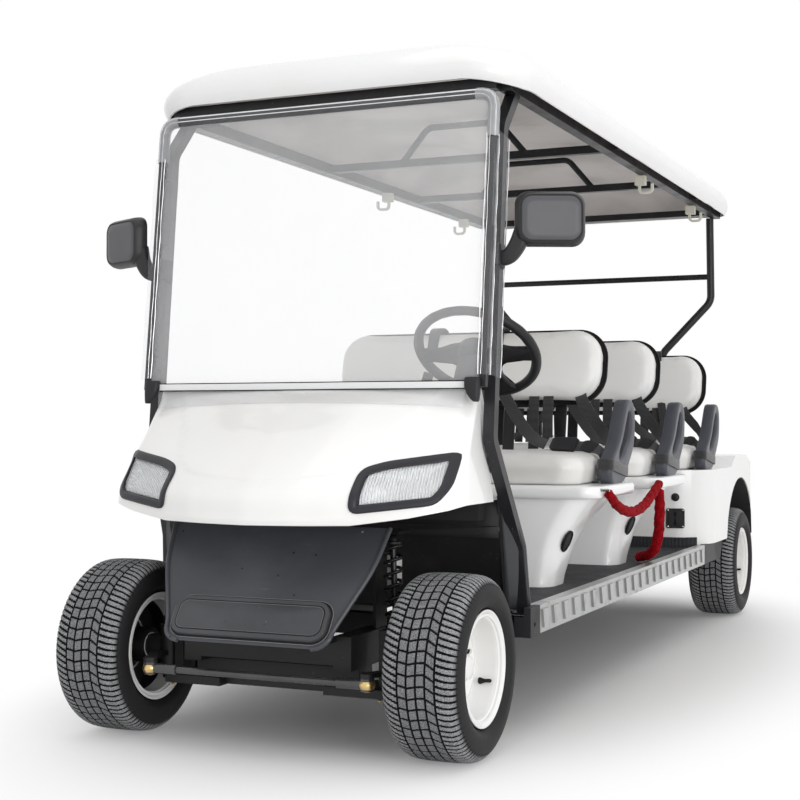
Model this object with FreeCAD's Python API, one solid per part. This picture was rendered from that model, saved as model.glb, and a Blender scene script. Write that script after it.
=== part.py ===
import FreeCAD, Part
import math
import os

# Six-seat electric golf cart with three forward-facing rows, a moulded roof and a one-piece windscreen.
# Millimetres. While it is built, Y runs rearward from the front axle and Z up from the floor;
# every piece is shifted along Y on export, so that the origin is under the middle of the cart.
# -Y is forward and +X is the cart's left, where the driver sits.

V = FreeCAD.Vector
os.makedirs("parts", exist_ok=True)

# Running gear
WHEELBASE = 3038.0
TYRE_RADIUS = 229.5
TYRE_WIDTH = 205.0
TYRE_SHOULDER = 26.0
RIM_SEAT_RADIUS = 127.0
RIM_FLANGE_RADIUS = 142.0
RIM_WIDTH = 180.0
RIM_WALL = 4.0
RIM_VENTS = 8
RIM_VENT_CIRCLE = 73.0
RIM_VENT_RADIUS = 8.0
DISC_OFFSET = 12.0
HUB_RADIUS = 46.0
HUB_LENGTH = 74.0
SPINDLE_RADIUS = 15.0
RUNNING_CLEARANCE = 0.05
FACE_CLEARANCE = 0.3
FRONT_WHEEL_X = 468.0
KINGPIN_X = 345.0
KINGPIN_RADIUS = 14.0
KINGPIN_HEIGHT = 120.0
KINGPIN_EYE_RADIUS = 19.0
ARM_HALF_WIDTH = 70.0
STEER_ARM_X = 309.0
STEER_ARM_Y = -149.0
STEER_ARM_Z = 205.0
TIE_ROD_RADIUS = 9.0

# Chassis and floor
TOW_HOLE_RADIUS = 10.5
RAIL_X = 215.0
RAIL_WIDTH = 50.0
RAIL_BOTTOM = 215.0
RAIL_TOP = 300.0
RAIL_FRONT_Y = -95.0
RAIL_REAR_Y = WHEELBASE + 362.0
RAIL_STEP_Y = WHEELBASE - 548.0
RAIL_STEP_TOP = 352.0
OUTRIGGER_FRONT_Y = 420.0
OUTRIGGER_REAR_Y = RAIL_STEP_Y - 110.0
OUTRIGGERS = 4
SPRING_WIDTH = 50.0
SPRING_EYE_Z = 270.0
SPRING_FRONT_Y = WHEELBASE - 420.0
SPRING_REAR_Y = WHEELBASE + 330.0
SPRING_LOW_Z = 196.0
FLOOR_Z = 330.0
FLOOR_PLATE = 6.0
FLOOR_HALF_WIDTH = 566.0
FLOOR_FRONT_Y = 322.0
MAT_THICKNESS = 6.0
BODY_FRONT_Y = WHEELBASE - 663.0
SILL_FRONT_Y = 340.0
SILL_REAR_Y = BODY_FRONT_Y + 18.0
SILL_OUTER_X = FLOOR_HALF_WIDTH + 16.0
SILL_BOTTOM = 272.0
SILL_TOP = 346.0
SILL_FLUTES = 22
SILL_FLUTE_DEPTH = 5.0
SILL_CAP_FRONT_Y = 262.0
SILL_TAIL_Y = WHEELBASE - 290.0

# Nose and cowl
COWL_WALL = 4.0
COWL_BACK_Y = 200.0
COWL_TOP = 919.0
COWL_EDGE_Z = 577.0
BEZEL_STAND = 6.0
BEZEL_FRAME = 20.0
LENS_STAND = 2.0
LENS_GAP = 0.5

PANEL_TOP = (-14.0, 566.0)
PANEL_LOW = (-206.0, 284.0)
PANEL_WALL = 6.0
PAD_HALF_WIDTH = 196.0
PAD_HEIGHT = 70.0
PAD_STAND = 12.0

# Windscreen, posts and roof
GLASS = 5.0
SCREEN_BOTTOM = (132.0, 921.0)
SCREEN_TOP = (219.0, 1690.0)
POST_X = 506.0
POST_WIDTH = 30.0
POST_KINK = (174.0, 786.0)
POST_KNEE = (FLOOR_HALF_WIDTH - 26.0, 301.0, 502.0)
POST_FOOT = (FLOOR_HALF_WIDTH - 18.0, 318.0, FLOOR_Z)
POST_BRACE_Z = 1604.0
STILE_X = POST_X - 3.0
STILE_WIDTH = 18.0
SCREEN_HALF_WIDTH = STILE_X - 10.0
TUBE_RADIUS = 16.0
HOOP_X = 488.0
HOOP_Y = WHEELBASE - 63.0
HOOP_BAR_Z = 1457.0
HOOP_KINK_Z = 1350.0
HOOP_FOOT = (284.0, WHEELBASE - 108.0, 1125.0)
ROOF_BOTTOM = 1730.0
ROOF_FRONT_Y = 208.0
ROOF_REAR_Y = WHEELBASE + 20.0
ROOF_HALF_WIDTH = 568.0
ROOF_WALL = 4.0
LINER_WALL = 3.0
LINER_GAP = 0.9
ROOF_RAIL_X = 510.0
ROOF_RAIL_Z = 1724.0
ROOF_BAR_SHARES = (0.376, 0.653)
ROOF_REAR_BAR_SHARE = 0.94
ROOF_BRACKET_SHARES = (0.383, 0.797)
ROOF_CLIP_SHARES = (0.5375, 0.818)
ROOF_HOOP_TOP = 1842.0

# Seating
POD_FRONT_Y = 838.0
POD_PITCH = (BODY_FRONT_Y - 67.0 - POD_FRONT_Y) / 2
POD_TOP = 640.0
POD_LIP = 36.0
POD_WALL = 5.0
VENT_RADIUS = 34.0
POD_LIP_HALF_WIDTH = FLOOR_HALF_WIDTH + 34.0
POD_LIP_LENGTH = 470.0
POD_FOOT_HALF_WIDTH = FLOOR_HALF_WIDTH - 111.0
POD_FOOT_LENGTH = 180.0
CUSHION_HEIGHT = 96.0
CUSHION_LENGTH = 400.0
BACK_HALF_WIDTHS = (482.0, 482.0, 496.0)
BACK_HEIGHT = 252.0
BACK_CORNER = 100.0
BACK_THICKNESS = 62.0
BACK_SHELL = 9.0
BACK_TILT = 12.0
ROW_Y = (POD_FRONT_Y, POD_FRONT_Y + POD_PITCH, BODY_FRONT_Y - 5.0)
ROW_BACK_Y = (ROW_Y[0] + 447.0, ROW_Y[1] + 432.0, ROW_Y[2] + 382.0)
ROW_BACK_Z = (903.0, 903.0, 876.0)
ARMREST_X = (FLOOR_HALF_WIDTH, FLOOR_HALF_WIDTH, FLOOR_HALF_WIDTH - 21.0)
ARMREST_Y = (ROW_Y[0] + 215.0, ROW_Y[1] + 197.0, ROW_Y[2] + 130.0)
ARMREST_WIDTH = 44.0
STRUT_THICKNESS = 8.0
STRUT_FOOT = 455.0

# Rear body
BODY_CORNER = 150.0
BODY_REAR_Y = WHEELBASE + 387.0
BODY_HALF_WIDTH = SILL_OUTER_X + 15.0
REAR_WHEEL_X = BODY_HALF_WIDTH - 83.0
SPRING_X = REAR_WHEEL_X - 174.0
BODY_BOTTOM = 330.3
BODY_WALL = 5.0
BODY_TOP_FRONT = 640.0
BODY_TOP_FENDER = 690.0
ARCH_RADIUS = 288.0
ARCH_TOP = 590.0
LINER_INNER_X = REAR_WHEEL_X - 118.0
SKIRT_BOTTOM = 347.0
SOCKET_TURN = 9.0
MAT_HALF_WIDTH = FLOOR_HALF_WIDTH - 18.0
MAT_FRONT_Y = 360.0
MAT_UPTURN = 375.0

# Steering and mirrors
WHEEL_CENTRE = (305.0, 610.0, 1032.0)
WHEEL_RIM_RADIUS = 175.0
WHEEL_GRIP_RADIUS = 15.0
COLUMN_TILT = 40.0
COLUMN_LENGTH = 575.0
DASH_BOTTOM = 575.0
DASH_DEPTH = 60.0
MIRROR_INNER = (560.0, 210.0)
MIRROR_OUTER = (724.0, 290.0)
MIRROR_Z = (1283.0, 1426.0)

FRONT_END = -TYRE_RADIUS
REAR_END = WHEELBASE + 402.0
MIDDLE_Y = (FRONT_END + REAR_END) / 2.0

SIDES = (1, -1)


def box(x0, y0, z0, x1, y1, z1):
    return Part.makeBox(x1 - x0, y1 - y0, z1 - z0, V(x0, y0, z0))


def rod(start, end, radius):
    """A round bar between two points."""
    a, b = V(*start), V(*end)
    return Part.makeCylinder(radius, (b - a).Length, a, b - a)


def side(shape, sign):
    """The shape as drawn for the cart's left, or its mirror image for the right."""
    return shape if sign > 0 else shape.mirror(V(0, 0, 0), V(1, 0, 0))


def pair(shape):
    """Left and right copies."""
    return [side(shape, s) for s in SIDES]


def follow(points, face, bend):
    """Carries a face along straight runs joined by tangent arcs of one radius, or the largest that fits."""
    p = [V(*q) for q in points]
    solids, at = [], p[0]
    for before, corner, after in zip(p, p[1:], p[2:]):
        u, w = (before - corner).normalize(), (after - corner).normalize()
        half_turn = (math.pi - u.getAngle(w)) / 2.0
        room = 0.45 * min((corner - before).Length, (after - corner).Length)
        cut = min(bend * math.tan(half_turn), room)
        radius = cut / math.tan(half_turn)
        enter = corner + u * cut
        centre = corner + (u + w).normalize() * (radius / math.cos(half_turn))
        axis = u.cross(w).normalize() * -1.0
        solids.append(face.extrude(enter - at))
        face.translate(enter - at)
        solids.append(face.revolve(centre, axis, math.degrees(2 * half_turn)))
        face.rotate(centre, axis, math.degrees(2 * half_turn))
        at = corner + w * cut
    solids.append(face.extrude(p[-1] - at))
    return solids[0].fuse(solids[1:])


def bent_rod(points, radius, bend):
    start, run = V(*points[0]), V(*points[1]) - V(*points[0])
    return follow(points, Part.Face(Part.Wire([Part.makeCircle(radius, start, run)])), bend)


def bent_bar(points, width, height, bend, across):
    """A rectangular tube along a bent path; across is the direction of its width."""
    start = V(*points[0])
    run = (V(*points[1]) - start).normalize()
    a = V(*across)
    a = (a - run * a.dot(run)).normalize()
    b = run.cross(a)
    signs = ((-1, -1), (1, -1), (1, 1), (-1, 1))
    corners = [start + a * (i * width / 2) + b * (j * height / 2) for i, j in signs]
    return follow(points, Part.Face(Part.makePolygon(corners + corners[:1])), bend)


def below(shape, z):
    """The part of a shape that lies under a height."""
    return shape.common(box(-1000, -1000, -10, 1000, 5000, z))


def rounded_wire(x0, y0, x1, y1, radius, z=0.0):
    """A rectangle with round corners, level at height z."""
    lines, quarter = [], math.pi / 2
    corners = [(x1 - radius, y1 - radius, 0), (x0 + radius, y1 - radius, 1),
               (x0 + radius, y0 + radius, 2), (x1 - radius, y0 + radius, 3)]
    for n, (cx, cy, turn) in enumerate(corners):
        at = [V(cx + radius * math.cos(turn * quarter + k * quarter / 2),
                cy + radius * math.sin(turn * quarter + k * quarter / 2), z) for k in range(3)]
        lines.append(Part.Arc(*at).toShape())
        nx, ny, nt = corners[(n + 1) % 4]
        end = V(nx + radius * math.cos(nt * quarter), ny + radius * math.sin(nt * quarter), z)
        lines.append(Part.LineSegment(at[2], end).toShape())
    return Part.Wire(lines)


def rounded_block(x0, y0, x1, y1, radius, z0, z1):
    return Part.Face(rounded_wire(x0, y0, x1, y1, radius, z0)).extrude(V(0, 0, z1 - z0))


def prism_yz(points, x0, x1):
    """A closed outline in the YZ plane, pushed from x0 to x1."""
    corners = [V(x0, y, z) for y, z in points]
    return Part.Face(Part.makePolygon(corners + corners[:1])).extrude(V(x1 - x0, 0, 0))


def prism_xz(points, y0, y1):
    corners = [V(x, y0, z) for x, z in points]
    return Part.Face(Part.makePolygon(corners + corners[:1])).extrude(V(0, y1 - y0, 0))


def revolve_x(points, centre):
    """Turns an outline of (along X, radius) pairs about the X axis through the centre."""
    corners = [V(x, 0, r) for x, r in points]
    face = Part.Face(Part.makePolygon(corners + corners[:1]))
    solid = face.revolve(V(0, 0, 0), V(1, 0, 0), 360)
    solid.translate(V(*centre))
    return solid


def save(name, shapes):
    """Writes one sub-part, moved to the row's own origin."""
    shapes = shapes if isinstance(shapes, list) else [shapes]
    solids = [s for shape in shapes for s in shape.Solids]
    group = Part.makeCompound(solids) if len(solids) > 1 else solids[0]
    group.translate(V(0, -MIDDLE_Y, 0))
    for s in group.Solids:
        if not s.isValid() or s.Volume <= 0:
            print("check", name, s.isValid(), round(s.Volume))
    group.exportStep("parts/" + name + ".step")


# Wheels: deep-dish steel rims with the hub bolted in, and wide low tyres

def wheel_rim(sign, centre, shaft_radius):
    half, r, w = RIM_WIDTH / 2, RIM_SEAT_RADIUS, RIM_WALL
    lip = RIM_FLANGE_RADIUS
    barrel = revolve_x([(half, lip), (half, lip - 4), (half - 12, r - w), (-half + 12, r - w),
                        (-half, lip - 4), (-half, lip), (-half + w, lip), (-half + w, r),
                        (half - w, r), (half - w, lip)], (0, 0, 0))
    bore = shaft_radius + RUNNING_CLEARANCE
    disc = revolve_x([(DISC_OFFSET, bore), (DISC_OFFSET, 60), (DISC_OFFSET + 16, 84),
                      (DISC_OFFSET + 2, r - w + 1), (DISC_OFFSET - 4, r - w + 1), (DISC_OFFSET + 10, 84),
                      (DISC_OFFSET - 6, 60), (DISC_OFFSET - 6, bore)], (0, 0, 0))
    hub = revolve_x([(DISC_OFFSET - 5, bore), (DISC_OFFSET - 5, HUB_RADIUS),
                     (DISC_OFFSET - HUB_LENGTH, HUB_RADIUS), (DISC_OFFSET - HUB_LENGTH, bore)], (0, 0, 0))
    cap = revolve_x([(DISC_OFFSET - 1, bore), (DISC_OFFSET + 26, bore), (DISC_OFFSET + 26, bore + 14),
                     (DISC_OFFSET - 1, bore + 18)], (0, 0, 0))
    rim = barrel.fuse([disc, hub, cap])
    for n in range(RIM_VENTS):
        a = math.radians(22.5 + 360 / RIM_VENTS * n)
        y, z = RIM_VENT_CIRCLE * math.cos(a), RIM_VENT_CIRCLE * math.sin(a)
        rim = rim.cut(rod((DISC_OFFSET - 20, y, z), (DISC_OFFSET + 30, y, z), RIM_VENT_RADIUS))
    rim = side(rim.removeSplitter(), sign)
    rim.translate(V(*centre))
    return rim


def tyre(sign, centre):
    half, r, s = TYRE_WIDTH / 2, TYRE_RADIUS, TYRE_SHOULDER
    bead, inner = RIM_SEAT_RADIUS + FACE_CLEARANCE, RIM_WIDTH / 2 - 13
    outline = [(inner, bead), (inner, RIM_FLANGE_RADIUS), (half, RIM_FLANGE_RADIUS + 20), (half, r - s),
               (half - s, r)]
    solid = revolve_x(outline + [(-x, z) for x, z in reversed(outline)], (0, 0, 0))
    solid.translate(V(*centre))
    return solid


FRONT_HUB_BACK = FRONT_WHEEL_X + DISC_OFFSET - HUB_LENGTH
WHEELS = (("front_left", 1, FRONT_WHEEL_X, 0), ("front_right", -1, FRONT_WHEEL_X, 0),
          ("rear_left", 1, REAR_WHEEL_X, WHEELBASE), ("rear_right", -1, REAR_WHEEL_X, WHEELBASE))
for wheel_name, wheel_sign, wheel_x, wheel_y in WHEELS:
    wheel_centre = (wheel_sign * wheel_x, wheel_y, TYRE_RADIUS)
    save("rim_" + wheel_name, wheel_rim(wheel_sign, wheel_centre, SPINDLE_RADIUS))
    save("tyre_" + wheel_name, tyre(wheel_sign, wheel_centre))


# Knuckles with spindles and steering arms, and the tie rod ahead of the axle

def knuckle():
    z = TYRE_RADIUS
    half = KINGPIN_HEIGHT / 2
    low, high = (KINGPIN_X, 0, z - half - 1), (KINGPIN_X, 0, z + half + 1)
    post = rod((KINGPIN_X, 0, z - half + FACE_CLEARANCE), (KINGPIN_X, 0, z + half - FACE_CLEARANCE), 26.0)
    post = post.cut(rod(low, high, KINGPIN_RADIUS + RUNNING_CLEARANCE))
    web = box(KINGPIN_X + 15, -24, z - 30, FRONT_HUB_BACK - 6, 24, z + 30)
    web = web.cut(rod(low, high, KINGPIN_RADIUS + 6))
    spindle = rod((FRONT_HUB_BACK - 8, 0, z), (FRONT_WHEEL_X + DISC_OFFSET + 30, 0, z), SPINDLE_RADIUS)
    collar = rod((FRONT_HUB_BACK - 8, 0, z), (FRONT_HUB_BACK - 1, 0, z), 30.0)
    nut = rod((FRONT_WHEEL_X + DISC_OFFSET + 27, 0, z), (FRONT_WHEEL_X + DISC_OFFSET + 37, 0, z), 19.0)
    arm = bent_bar([(KINGPIN_X + 4, -18, STEER_ARM_Z + 10), (KINGPIN_X - 2, -80, STEER_ARM_Z + 14),
                    (STEER_ARM_X, STEER_ARM_Y + 4, STEER_ARM_Z + 14)], 26.0, 12.0, 40.0, (1, 0, 0))
    eye = rod((STEER_ARM_X, STEER_ARM_Y, STEER_ARM_Z + 8), (STEER_ARM_X, STEER_ARM_Y, STEER_ARM_Z + 20), 18.0)
    return post.fuse([web, spindle, collar, nut, arm, eye]).removeSplitter()


for knuckle_name, knuckle_sign in (("left", 1), ("right", -1)):
    save("knuckle_" + knuckle_name, side(knuckle(), knuckle_sign))

tie_rod_z = STEER_ARM_Z - 8.0
tie_rod = rod((-STEER_ARM_X + 20, STEER_ARM_Y, tie_rod_z), (STEER_ARM_X - 20, STEER_ARM_Y, tie_rod_z),
              TIE_ROD_RADIUS)
rod_ends = [rod((s * STEER_ARM_X, STEER_ARM_Y, tie_rod_z - 15),
                (s * STEER_ARM_X, STEER_ARM_Y, STEER_ARM_Z + 8 - FACE_CLEARANCE), 17.0) for s in SIDES]
sleeves = [rod((s * (STEER_ARM_X - 80), STEER_ARM_Y, tie_rod_z),
               (s * (STEER_ARM_X - 12), STEER_ARM_Y, tie_rod_z), 13.0) for s in SIDES]
save("tie_rod", tie_rod.fuse(rod_ends + sleeves))


# Chassis: straight box members, each its own solid, butted face to face; no two in a node touch

rail_in, rail_out = RAIL_X - RAIL_WIDTH / 2, RAIL_X + RAIL_WIDTH / 2
sill_rail_in, sill_rail_out = FLOOR_HALF_WIDTH - 66, FLOOR_HALF_WIDTH - 26
main_rails = pair(box(rail_in, RAIL_FRONT_Y, RAIL_BOTTOM, rail_out, RAIL_STEP_Y + 120, RAIL_TOP))
deck_end_y = RAIL_STEP_Y - 70
sill_rails = pair(box(sill_rail_in, 342, RAIL_TOP - 40, sill_rail_out, deck_end_y, RAIL_TOP))
save("frame_rails", main_rails + sill_rails)

outrigger_pitch = (OUTRIGGER_REAR_Y - OUTRIGGER_FRONT_Y) / (OUTRIGGERS - 1)
outriggers_y = [OUTRIGGER_FRONT_Y + outrigger_pitch * n for n in range(OUTRIGGERS)]
members = [box(-rail_in, y, RAIL_BOTTOM + 12, rail_in, y + 50, RAIL_TOP - 12)
           for y in [RAIL_FRONT_Y] + outriggers_y[:-1] + [RAIL_STEP_Y + 70]]
for y in outriggers_y:
    members += pair(box(rail_out, y, RAIL_TOP - 40, sill_rail_in, y + 40, RAIL_TOP))
hangers = [box(rail_out, y - 22, SPRING_EYE_Z - 26, SPRING_X - SPRING_WIDTH / 2, y + 22, RAIL_STEP_TOP)
           for y in (SPRING_FRONT_Y, SPRING_REAR_Y)]
for hanger in hangers:
    members += pair(hanger)
hitch = box(-60, RAIL_REAR_Y, RAIL_TOP - 6, 60, REAR_END, RAIL_TOP + 6)
hitch = hitch.fuse(box(-rail_in, RAIL_REAR_Y - 40, RAIL_TOP + 6, rail_in, RAIL_REAR_Y, RAIL_STEP_TOP - 6))
hitch = hitch.fuse(box(-60, RAIL_REAR_Y - 40, RAIL_TOP - 6, 60, RAIL_REAR_Y + 1, RAIL_TOP + 7))
hitch = hitch.cut(rod((0, REAR_END - 24, 0), (0, REAR_END - 24, 400), TOW_HOLE_RADIUS)).removeSplitter()
save("cross_members", members + [hitch])

rear_rails = pair(box(rail_in, RAIL_STEP_Y, RAIL_TOP, rail_out, RAIL_REAR_Y, RAIL_STEP_TOP))
floor_low = FLOOR_Z - FLOOR_PLATE
deck_bars = pair(box(rail_in + 5, 345, RAIL_TOP, rail_out - 5, deck_end_y, floor_low))

floor_plate = box(-FLOOR_HALF_WIDTH, FLOOR_FRONT_Y, floor_low, FLOOR_HALF_WIDTH, BODY_FRONT_Y + 100, FLOOR_Z)
toe_board = prism_yz([(FLOOR_FRONT_Y, FLOOR_Z), (FLOOR_FRONT_Y + 8, FLOOR_Z), (FLOOR_FRONT_Y - 70, 560),
                      (FLOOR_FRONT_Y - 78, 560)], -500, 500)
post_pads = pair(box(POST_FOOT[0] - 28, POST_FOOT[1] - 22, floor_low, FLOOR_HALF_WIDTH, FLOOR_FRONT_Y,
                     FLOOR_Z))
save("floor_tray", floor_plate.fuse([toe_board] + post_pads).removeSplitter())

mat_top = FLOOR_Z + MAT_THICKNESS
mat_rear = BODY_FRONT_Y + BODY_CORNER
mat = box(-MAT_HALF_WIDTH, MAT_FRONT_Y, FLOOR_Z, MAT_HALF_WIDTH, mat_rear, mat_top)
upturn = box(-MAT_HALF_WIDTH, BODY_FRONT_Y - 20, FLOOR_Z, MAT_HALF_WIDTH, mat_rear - 60, MAT_UPTURN)


def body_plan(grow, z0, z1):
    """The rear body's plan with round corners, as a block."""
    half = BODY_HALF_WIDTH + grow
    return rounded_block(-half, BODY_FRONT_Y - grow, half, BODY_REAR_Y + grow, BODY_CORNER + grow, z0, z1)


upturn = upturn.common(body_plan(FACE_CLEARANCE + MAT_THICKNESS, FLOOR_Z, MAT_UPTURN))
mat = mat.fuse(upturn).cut(body_plan(FACE_CLEARANCE, FLOOR_Z - 1, MAT_UPTURN + 1)).removeSplitter()
save("floor_mat", mat)


# Fluted aluminium sill strips, their black front caps and rear tails

def sill_strip():
    length = SILL_REAR_Y - SILL_FRONT_Y
    pitch = length / SILL_FLUTES
    face = box(SILL_OUTER_X - 3, SILL_FRONT_Y, SILL_BOTTOM, SILL_OUTER_X, SILL_REAR_Y, SILL_TOP)
    top = box(SILL_OUTER_X - 34, SILL_FRONT_Y, SILL_TOP - 3, SILL_OUTER_X, SILL_REAR_Y, SILL_TOP)
    flutes = []
    for n in range(SILL_FLUTES):
        y = SILL_FRONT_Y + (n + 0.5) * pitch
        w = pitch * 0.28
        flute = [(y - w, SILL_TOP - 12), (y + w, SILL_TOP - 12), (y + w * 0.5, SILL_BOTTOM + 12),
                 (y - w * 0.5, SILL_BOTTOM + 12)]
        flutes.append(prism_yz(flute, SILL_OUTER_X - 1, SILL_OUTER_X + SILL_FLUTE_DEPTH))
    return face.fuse([top] + flutes).removeSplitter()


save("sill_strips", pair(sill_strip()))

backing = box(SILL_OUTER_X - 16, SILL_FRONT_Y, SILL_BOTTOM + 8, SILL_OUTER_X - 3, SILL_REAR_Y, SILL_TOP - 3)
cap = box(FLOOR_HALF_WIDTH + 1, SILL_CAP_FRONT_Y, SILL_BOTTOM - 2, SILL_OUTER_X + 3, SILL_FRONT_Y,
          SILL_TOP + 2)
cap = cap.fuse(box(SILL_OUTER_X - 42, SILL_CAP_FRONT_Y, SILL_BOTTOM - 2, SILL_OUTER_X, SILL_CAP_FRONT_Y + 6,
                   floor_low - 1))
cap_bolt = (SILL_CAP_FRONT_Y + 34, 302)
cap = cap.cut(rod((SILL_OUTER_X - 82, *cap_bolt), (SILL_OUTER_X + 18, *cap_bolt), 6.0))
tail = prism_yz([(SILL_REAR_Y, SILL_BOTTOM), (SILL_TAIL_Y - 55, SILL_BOTTOM), (SILL_TAIL_Y, SILL_TOP),
                 (SILL_REAR_Y, SILL_TOP)], SILL_OUTER_X - 16, SILL_OUTER_X)
save("sill_ends", pair(backing.fuse([cap, tail])))


# Nose cowl: a loft through level outlines, each a V with round corners, hollowed from below

COWL_LEVELS = ((548.0, -206.0, 508.0, 1.0), (600.0, -218.0, 508.0, 1.0), (650.0, -212.0, 503.0, 1.0),
               (700.0, -160.0, 496.0, 0.86), (750.0, -104.0, 489.0, 0.72), (800.0, -40.0, 485.0, 0.6),
               (850.0, 28.0, 482.0, 0.45), (890.0, 80.0, 478.0, 0.34), (COWL_TOP, 132.0, 472.0, 0.12))


def cowl_outline(z, nose, half_width, sweep_back, grow):
    """One level outline: grow is how far it stands outside the cowl's own surface."""
    w = half_width + grow
    front = nose - grow
    half = [(0.27, 17), (0.52, 60), (0.77, 112), (0.915, 152), (0.975, 196)]
    flank = front + sweep_back * half[-1][1]
    flank += 0.4 * (COWL_BACK_Y - flank)
    pts = [(-w, COWL_BACK_Y), (-w, flank)]
    pts += [(-w * x, front + y * sweep_back) for x, y in reversed(half)]
    pts += [(0, front)]
    pts += [(w * x, front + y * sweep_back) for x, y in half]
    pts += [(w, flank), (w, COWL_BACK_Y)]
    curve = Part.BSplineCurve()
    curve.interpolate([V(x, y, z) for x, y in pts])
    back = Part.LineSegment(V(w, COWL_BACK_Y, z), V(-w, COWL_BACK_Y, z)).toShape()
    return Part.Wire([curve.toShape(), back])


def cowl_form(grow):
    wires = []
    for z, nose, half_width, sweep_back in COWL_LEVELS:
        lift = grow if z > 900 else grow * 0.5
        wires.append(cowl_outline(z + lift, nose, half_width, sweep_back, grow))
    return Part.makeLoft(wires, True, True)


def lamp_prism(shrink):
    """The lamp's slanted outline on the cart's left, pushed along the cart's length."""
    x0, x1 = 258 + shrink, 488 - shrink
    low_in, low_out = 604 + shrink, 636 + shrink * 0.8
    top_in, top_out = 722 - shrink, 762 - shrink
    outline = [(x0 + 4, low_in + 30), (x0 + 26, low_in + 4), (x1 - 60, low_out - 10), (x1 - 8, low_out + 14),
               (x1, low_out + 40), (x1, top_out - 20), (x1 - 14, top_out), (x0 + 70, top_in + 14),
               (x0, top_in - 14)]
    return prism_xz(outline, -320, 140)


cowl_outer = cowl_form(0.0)
cowl_inner = cowl_form(-COWL_WALL)
edge_rise = ((265, 3.0), (400, 21.0), (485, 40.0), (560, 55.0))
right_edge = [(-x, COWL_EDGE_Z + rise) for x, rise in edge_rise]
left_edge = [(x, COWL_EDGE_Z + rise) for x, rise in reversed(edge_rise)]
lower_cut = prism_xz([(-560, 500), (560, 500)] + left_edge + [(0, COWL_EDGE_Z)] + right_edge, -400, 300)
cowl_shell = cowl_outer.cut(cowl_inner).cut(lower_cut)
cowl_stand = cowl_form(BEZEL_STAND)
cowl_deep = cowl_form(-14.0)
lamp_ring = lamp_prism(0.0)
lamp_window = lamp_prism(BEZEL_FRAME)
bezel = cowl_stand.cut(cowl_deep).common(lamp_ring).cut(lamp_window)
lens = cowl_form(LENS_STAND).cut(cowl_form(-3.0)).common(lamp_prism(BEZEL_FRAME + LENS_GAP))
hole = lamp_prism(-FACE_CLEARANCE)
for s in SIDES:
    cowl_shell = cowl_shell.cut(side(hole, s))
save("front_cowl", cowl_shell)
save("headlight_bezels", pair(bezel))
save("headlight_lenses", pair(lens))


# Black front panel under the nose, with its round-cornered bumper pad

def front_panel():
    (top_y, top_z), (low_y, low_z), wall = PANEL_TOP, PANEL_LOW, PANEL_WALL
    edge = [(317, top_z), (300, 470), (262, 380), (240, 330), (233, 305), (216, 290), (192, low_z)]
    outline = edge + [(-x, z) for x, z in reversed(edge)]
    slab = prism_yz([(top_y, top_z), (low_y, low_z), (low_y - 2, low_z - 2), (low_y - wall, low_z),
                     (top_y - wall, top_z)], -400, 400)
    return slab.common(prism_xz(outline, -400, 200))


panel = front_panel()
panel_slope = math.degrees(math.atan2(PANEL_TOP[0] - PANEL_LOW[0], PANEL_TOP[1] - PANEL_LOW[1]))
pad = rounded_block(-PAD_HALF_WIDTH, 16, PAD_HALF_WIDTH, 16 + PAD_HEIGHT, 26, -2, PAD_STAND)
pad.rotate(V(0, 0, 0), V(1, 0, 0), 90 - panel_slope)
pad.translate(V(0, PANEL_LOW[0] - PANEL_WALL, PANEL_LOW[1]))
panel = panel.fuse(pad)
save("front_panel", panel)
panel_stay = box(RAIL_X - 42, PANEL_LOW[0], RAIL_TOP - 14, RAIL_X - 17, RAIL_FRONT_Y, RAIL_TOP - 2)
panel_stays = pair(panel_stay.cut(panel))


# Dash, kick panels and toe box behind the cowl

dash = box(-464, COWL_BACK_Y, DASH_BOTTOM, 464, COWL_BACK_Y + DASH_DEPTH, COWL_TOP - 4)
dash = dash.cut(box(-440, COWL_BACK_Y + 20, 700, -150, COWL_BACK_Y + 70, 840))
kick_foot = FLOOR_Z + MAT_THICKNESS + FACE_CLEARANCE
kick = prism_yz([(236, 640), (268, 640), (338, kick_foot), (296, kick_foot)], 501, 508)
save("kick_panels", pair(kick))


# Posts: foot, knee, kink, along the screen, and the brace up to the roof rail

def front_post():
    lean = (SCREEN_TOP[0] - SCREEN_BOTTOM[0]) / (SCREEN_TOP[1] - SCREEN_BOTTOM[1])
    brace_y = SCREEN_BOTTOM[0] + 48.0 + lean * (POST_BRACE_Z - SCREEN_BOTTOM[1])
    bar = bent_bar([POST_FOOT, POST_KNEE, (POST_X, *POST_KINK), (POST_X, brace_y, POST_BRACE_Z),
                    (POST_X, brace_y + 118, ROOF_RAIL_Z + 10)], POST_WIDTH, POST_WIDTH, 60.0, (1, 0, 0))
    return below(bar, ROOF_RAIL_Z - 17).common(box(400, 0, FLOOR_Z, 700, 800, 2000))


save("front_posts", pair(front_post()))
dash_ties = pair(box(460, COWL_BACK_Y, 700, POST_X + 6, COWL_BACK_Y + 26, 742).cut(front_post()))
save("dashboard", dash.fuse(dash_ties))

screen_tilt = math.degrees(math.atan2(SCREEN_TOP[0] - SCREEN_BOTTOM[0], SCREEN_TOP[1] - SCREEN_BOTTOM[1]))
screen_length = math.hypot(SCREEN_TOP[0] - SCREEN_BOTTOM[0], SCREEN_TOP[1] - SCREEN_BOTTOM[1])


def on_screen(shape):
    """Stands a shape drawn upright, with Z=0 at the screen's lower edge, in the screen's plane."""
    shape.rotate(V(0, 0, 0), V(1, 0, 0), -screen_tilt)
    shape.translate(V(0, SCREEN_BOTTOM[0], SCREEN_BOTTOM[1]))
    return shape


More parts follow.
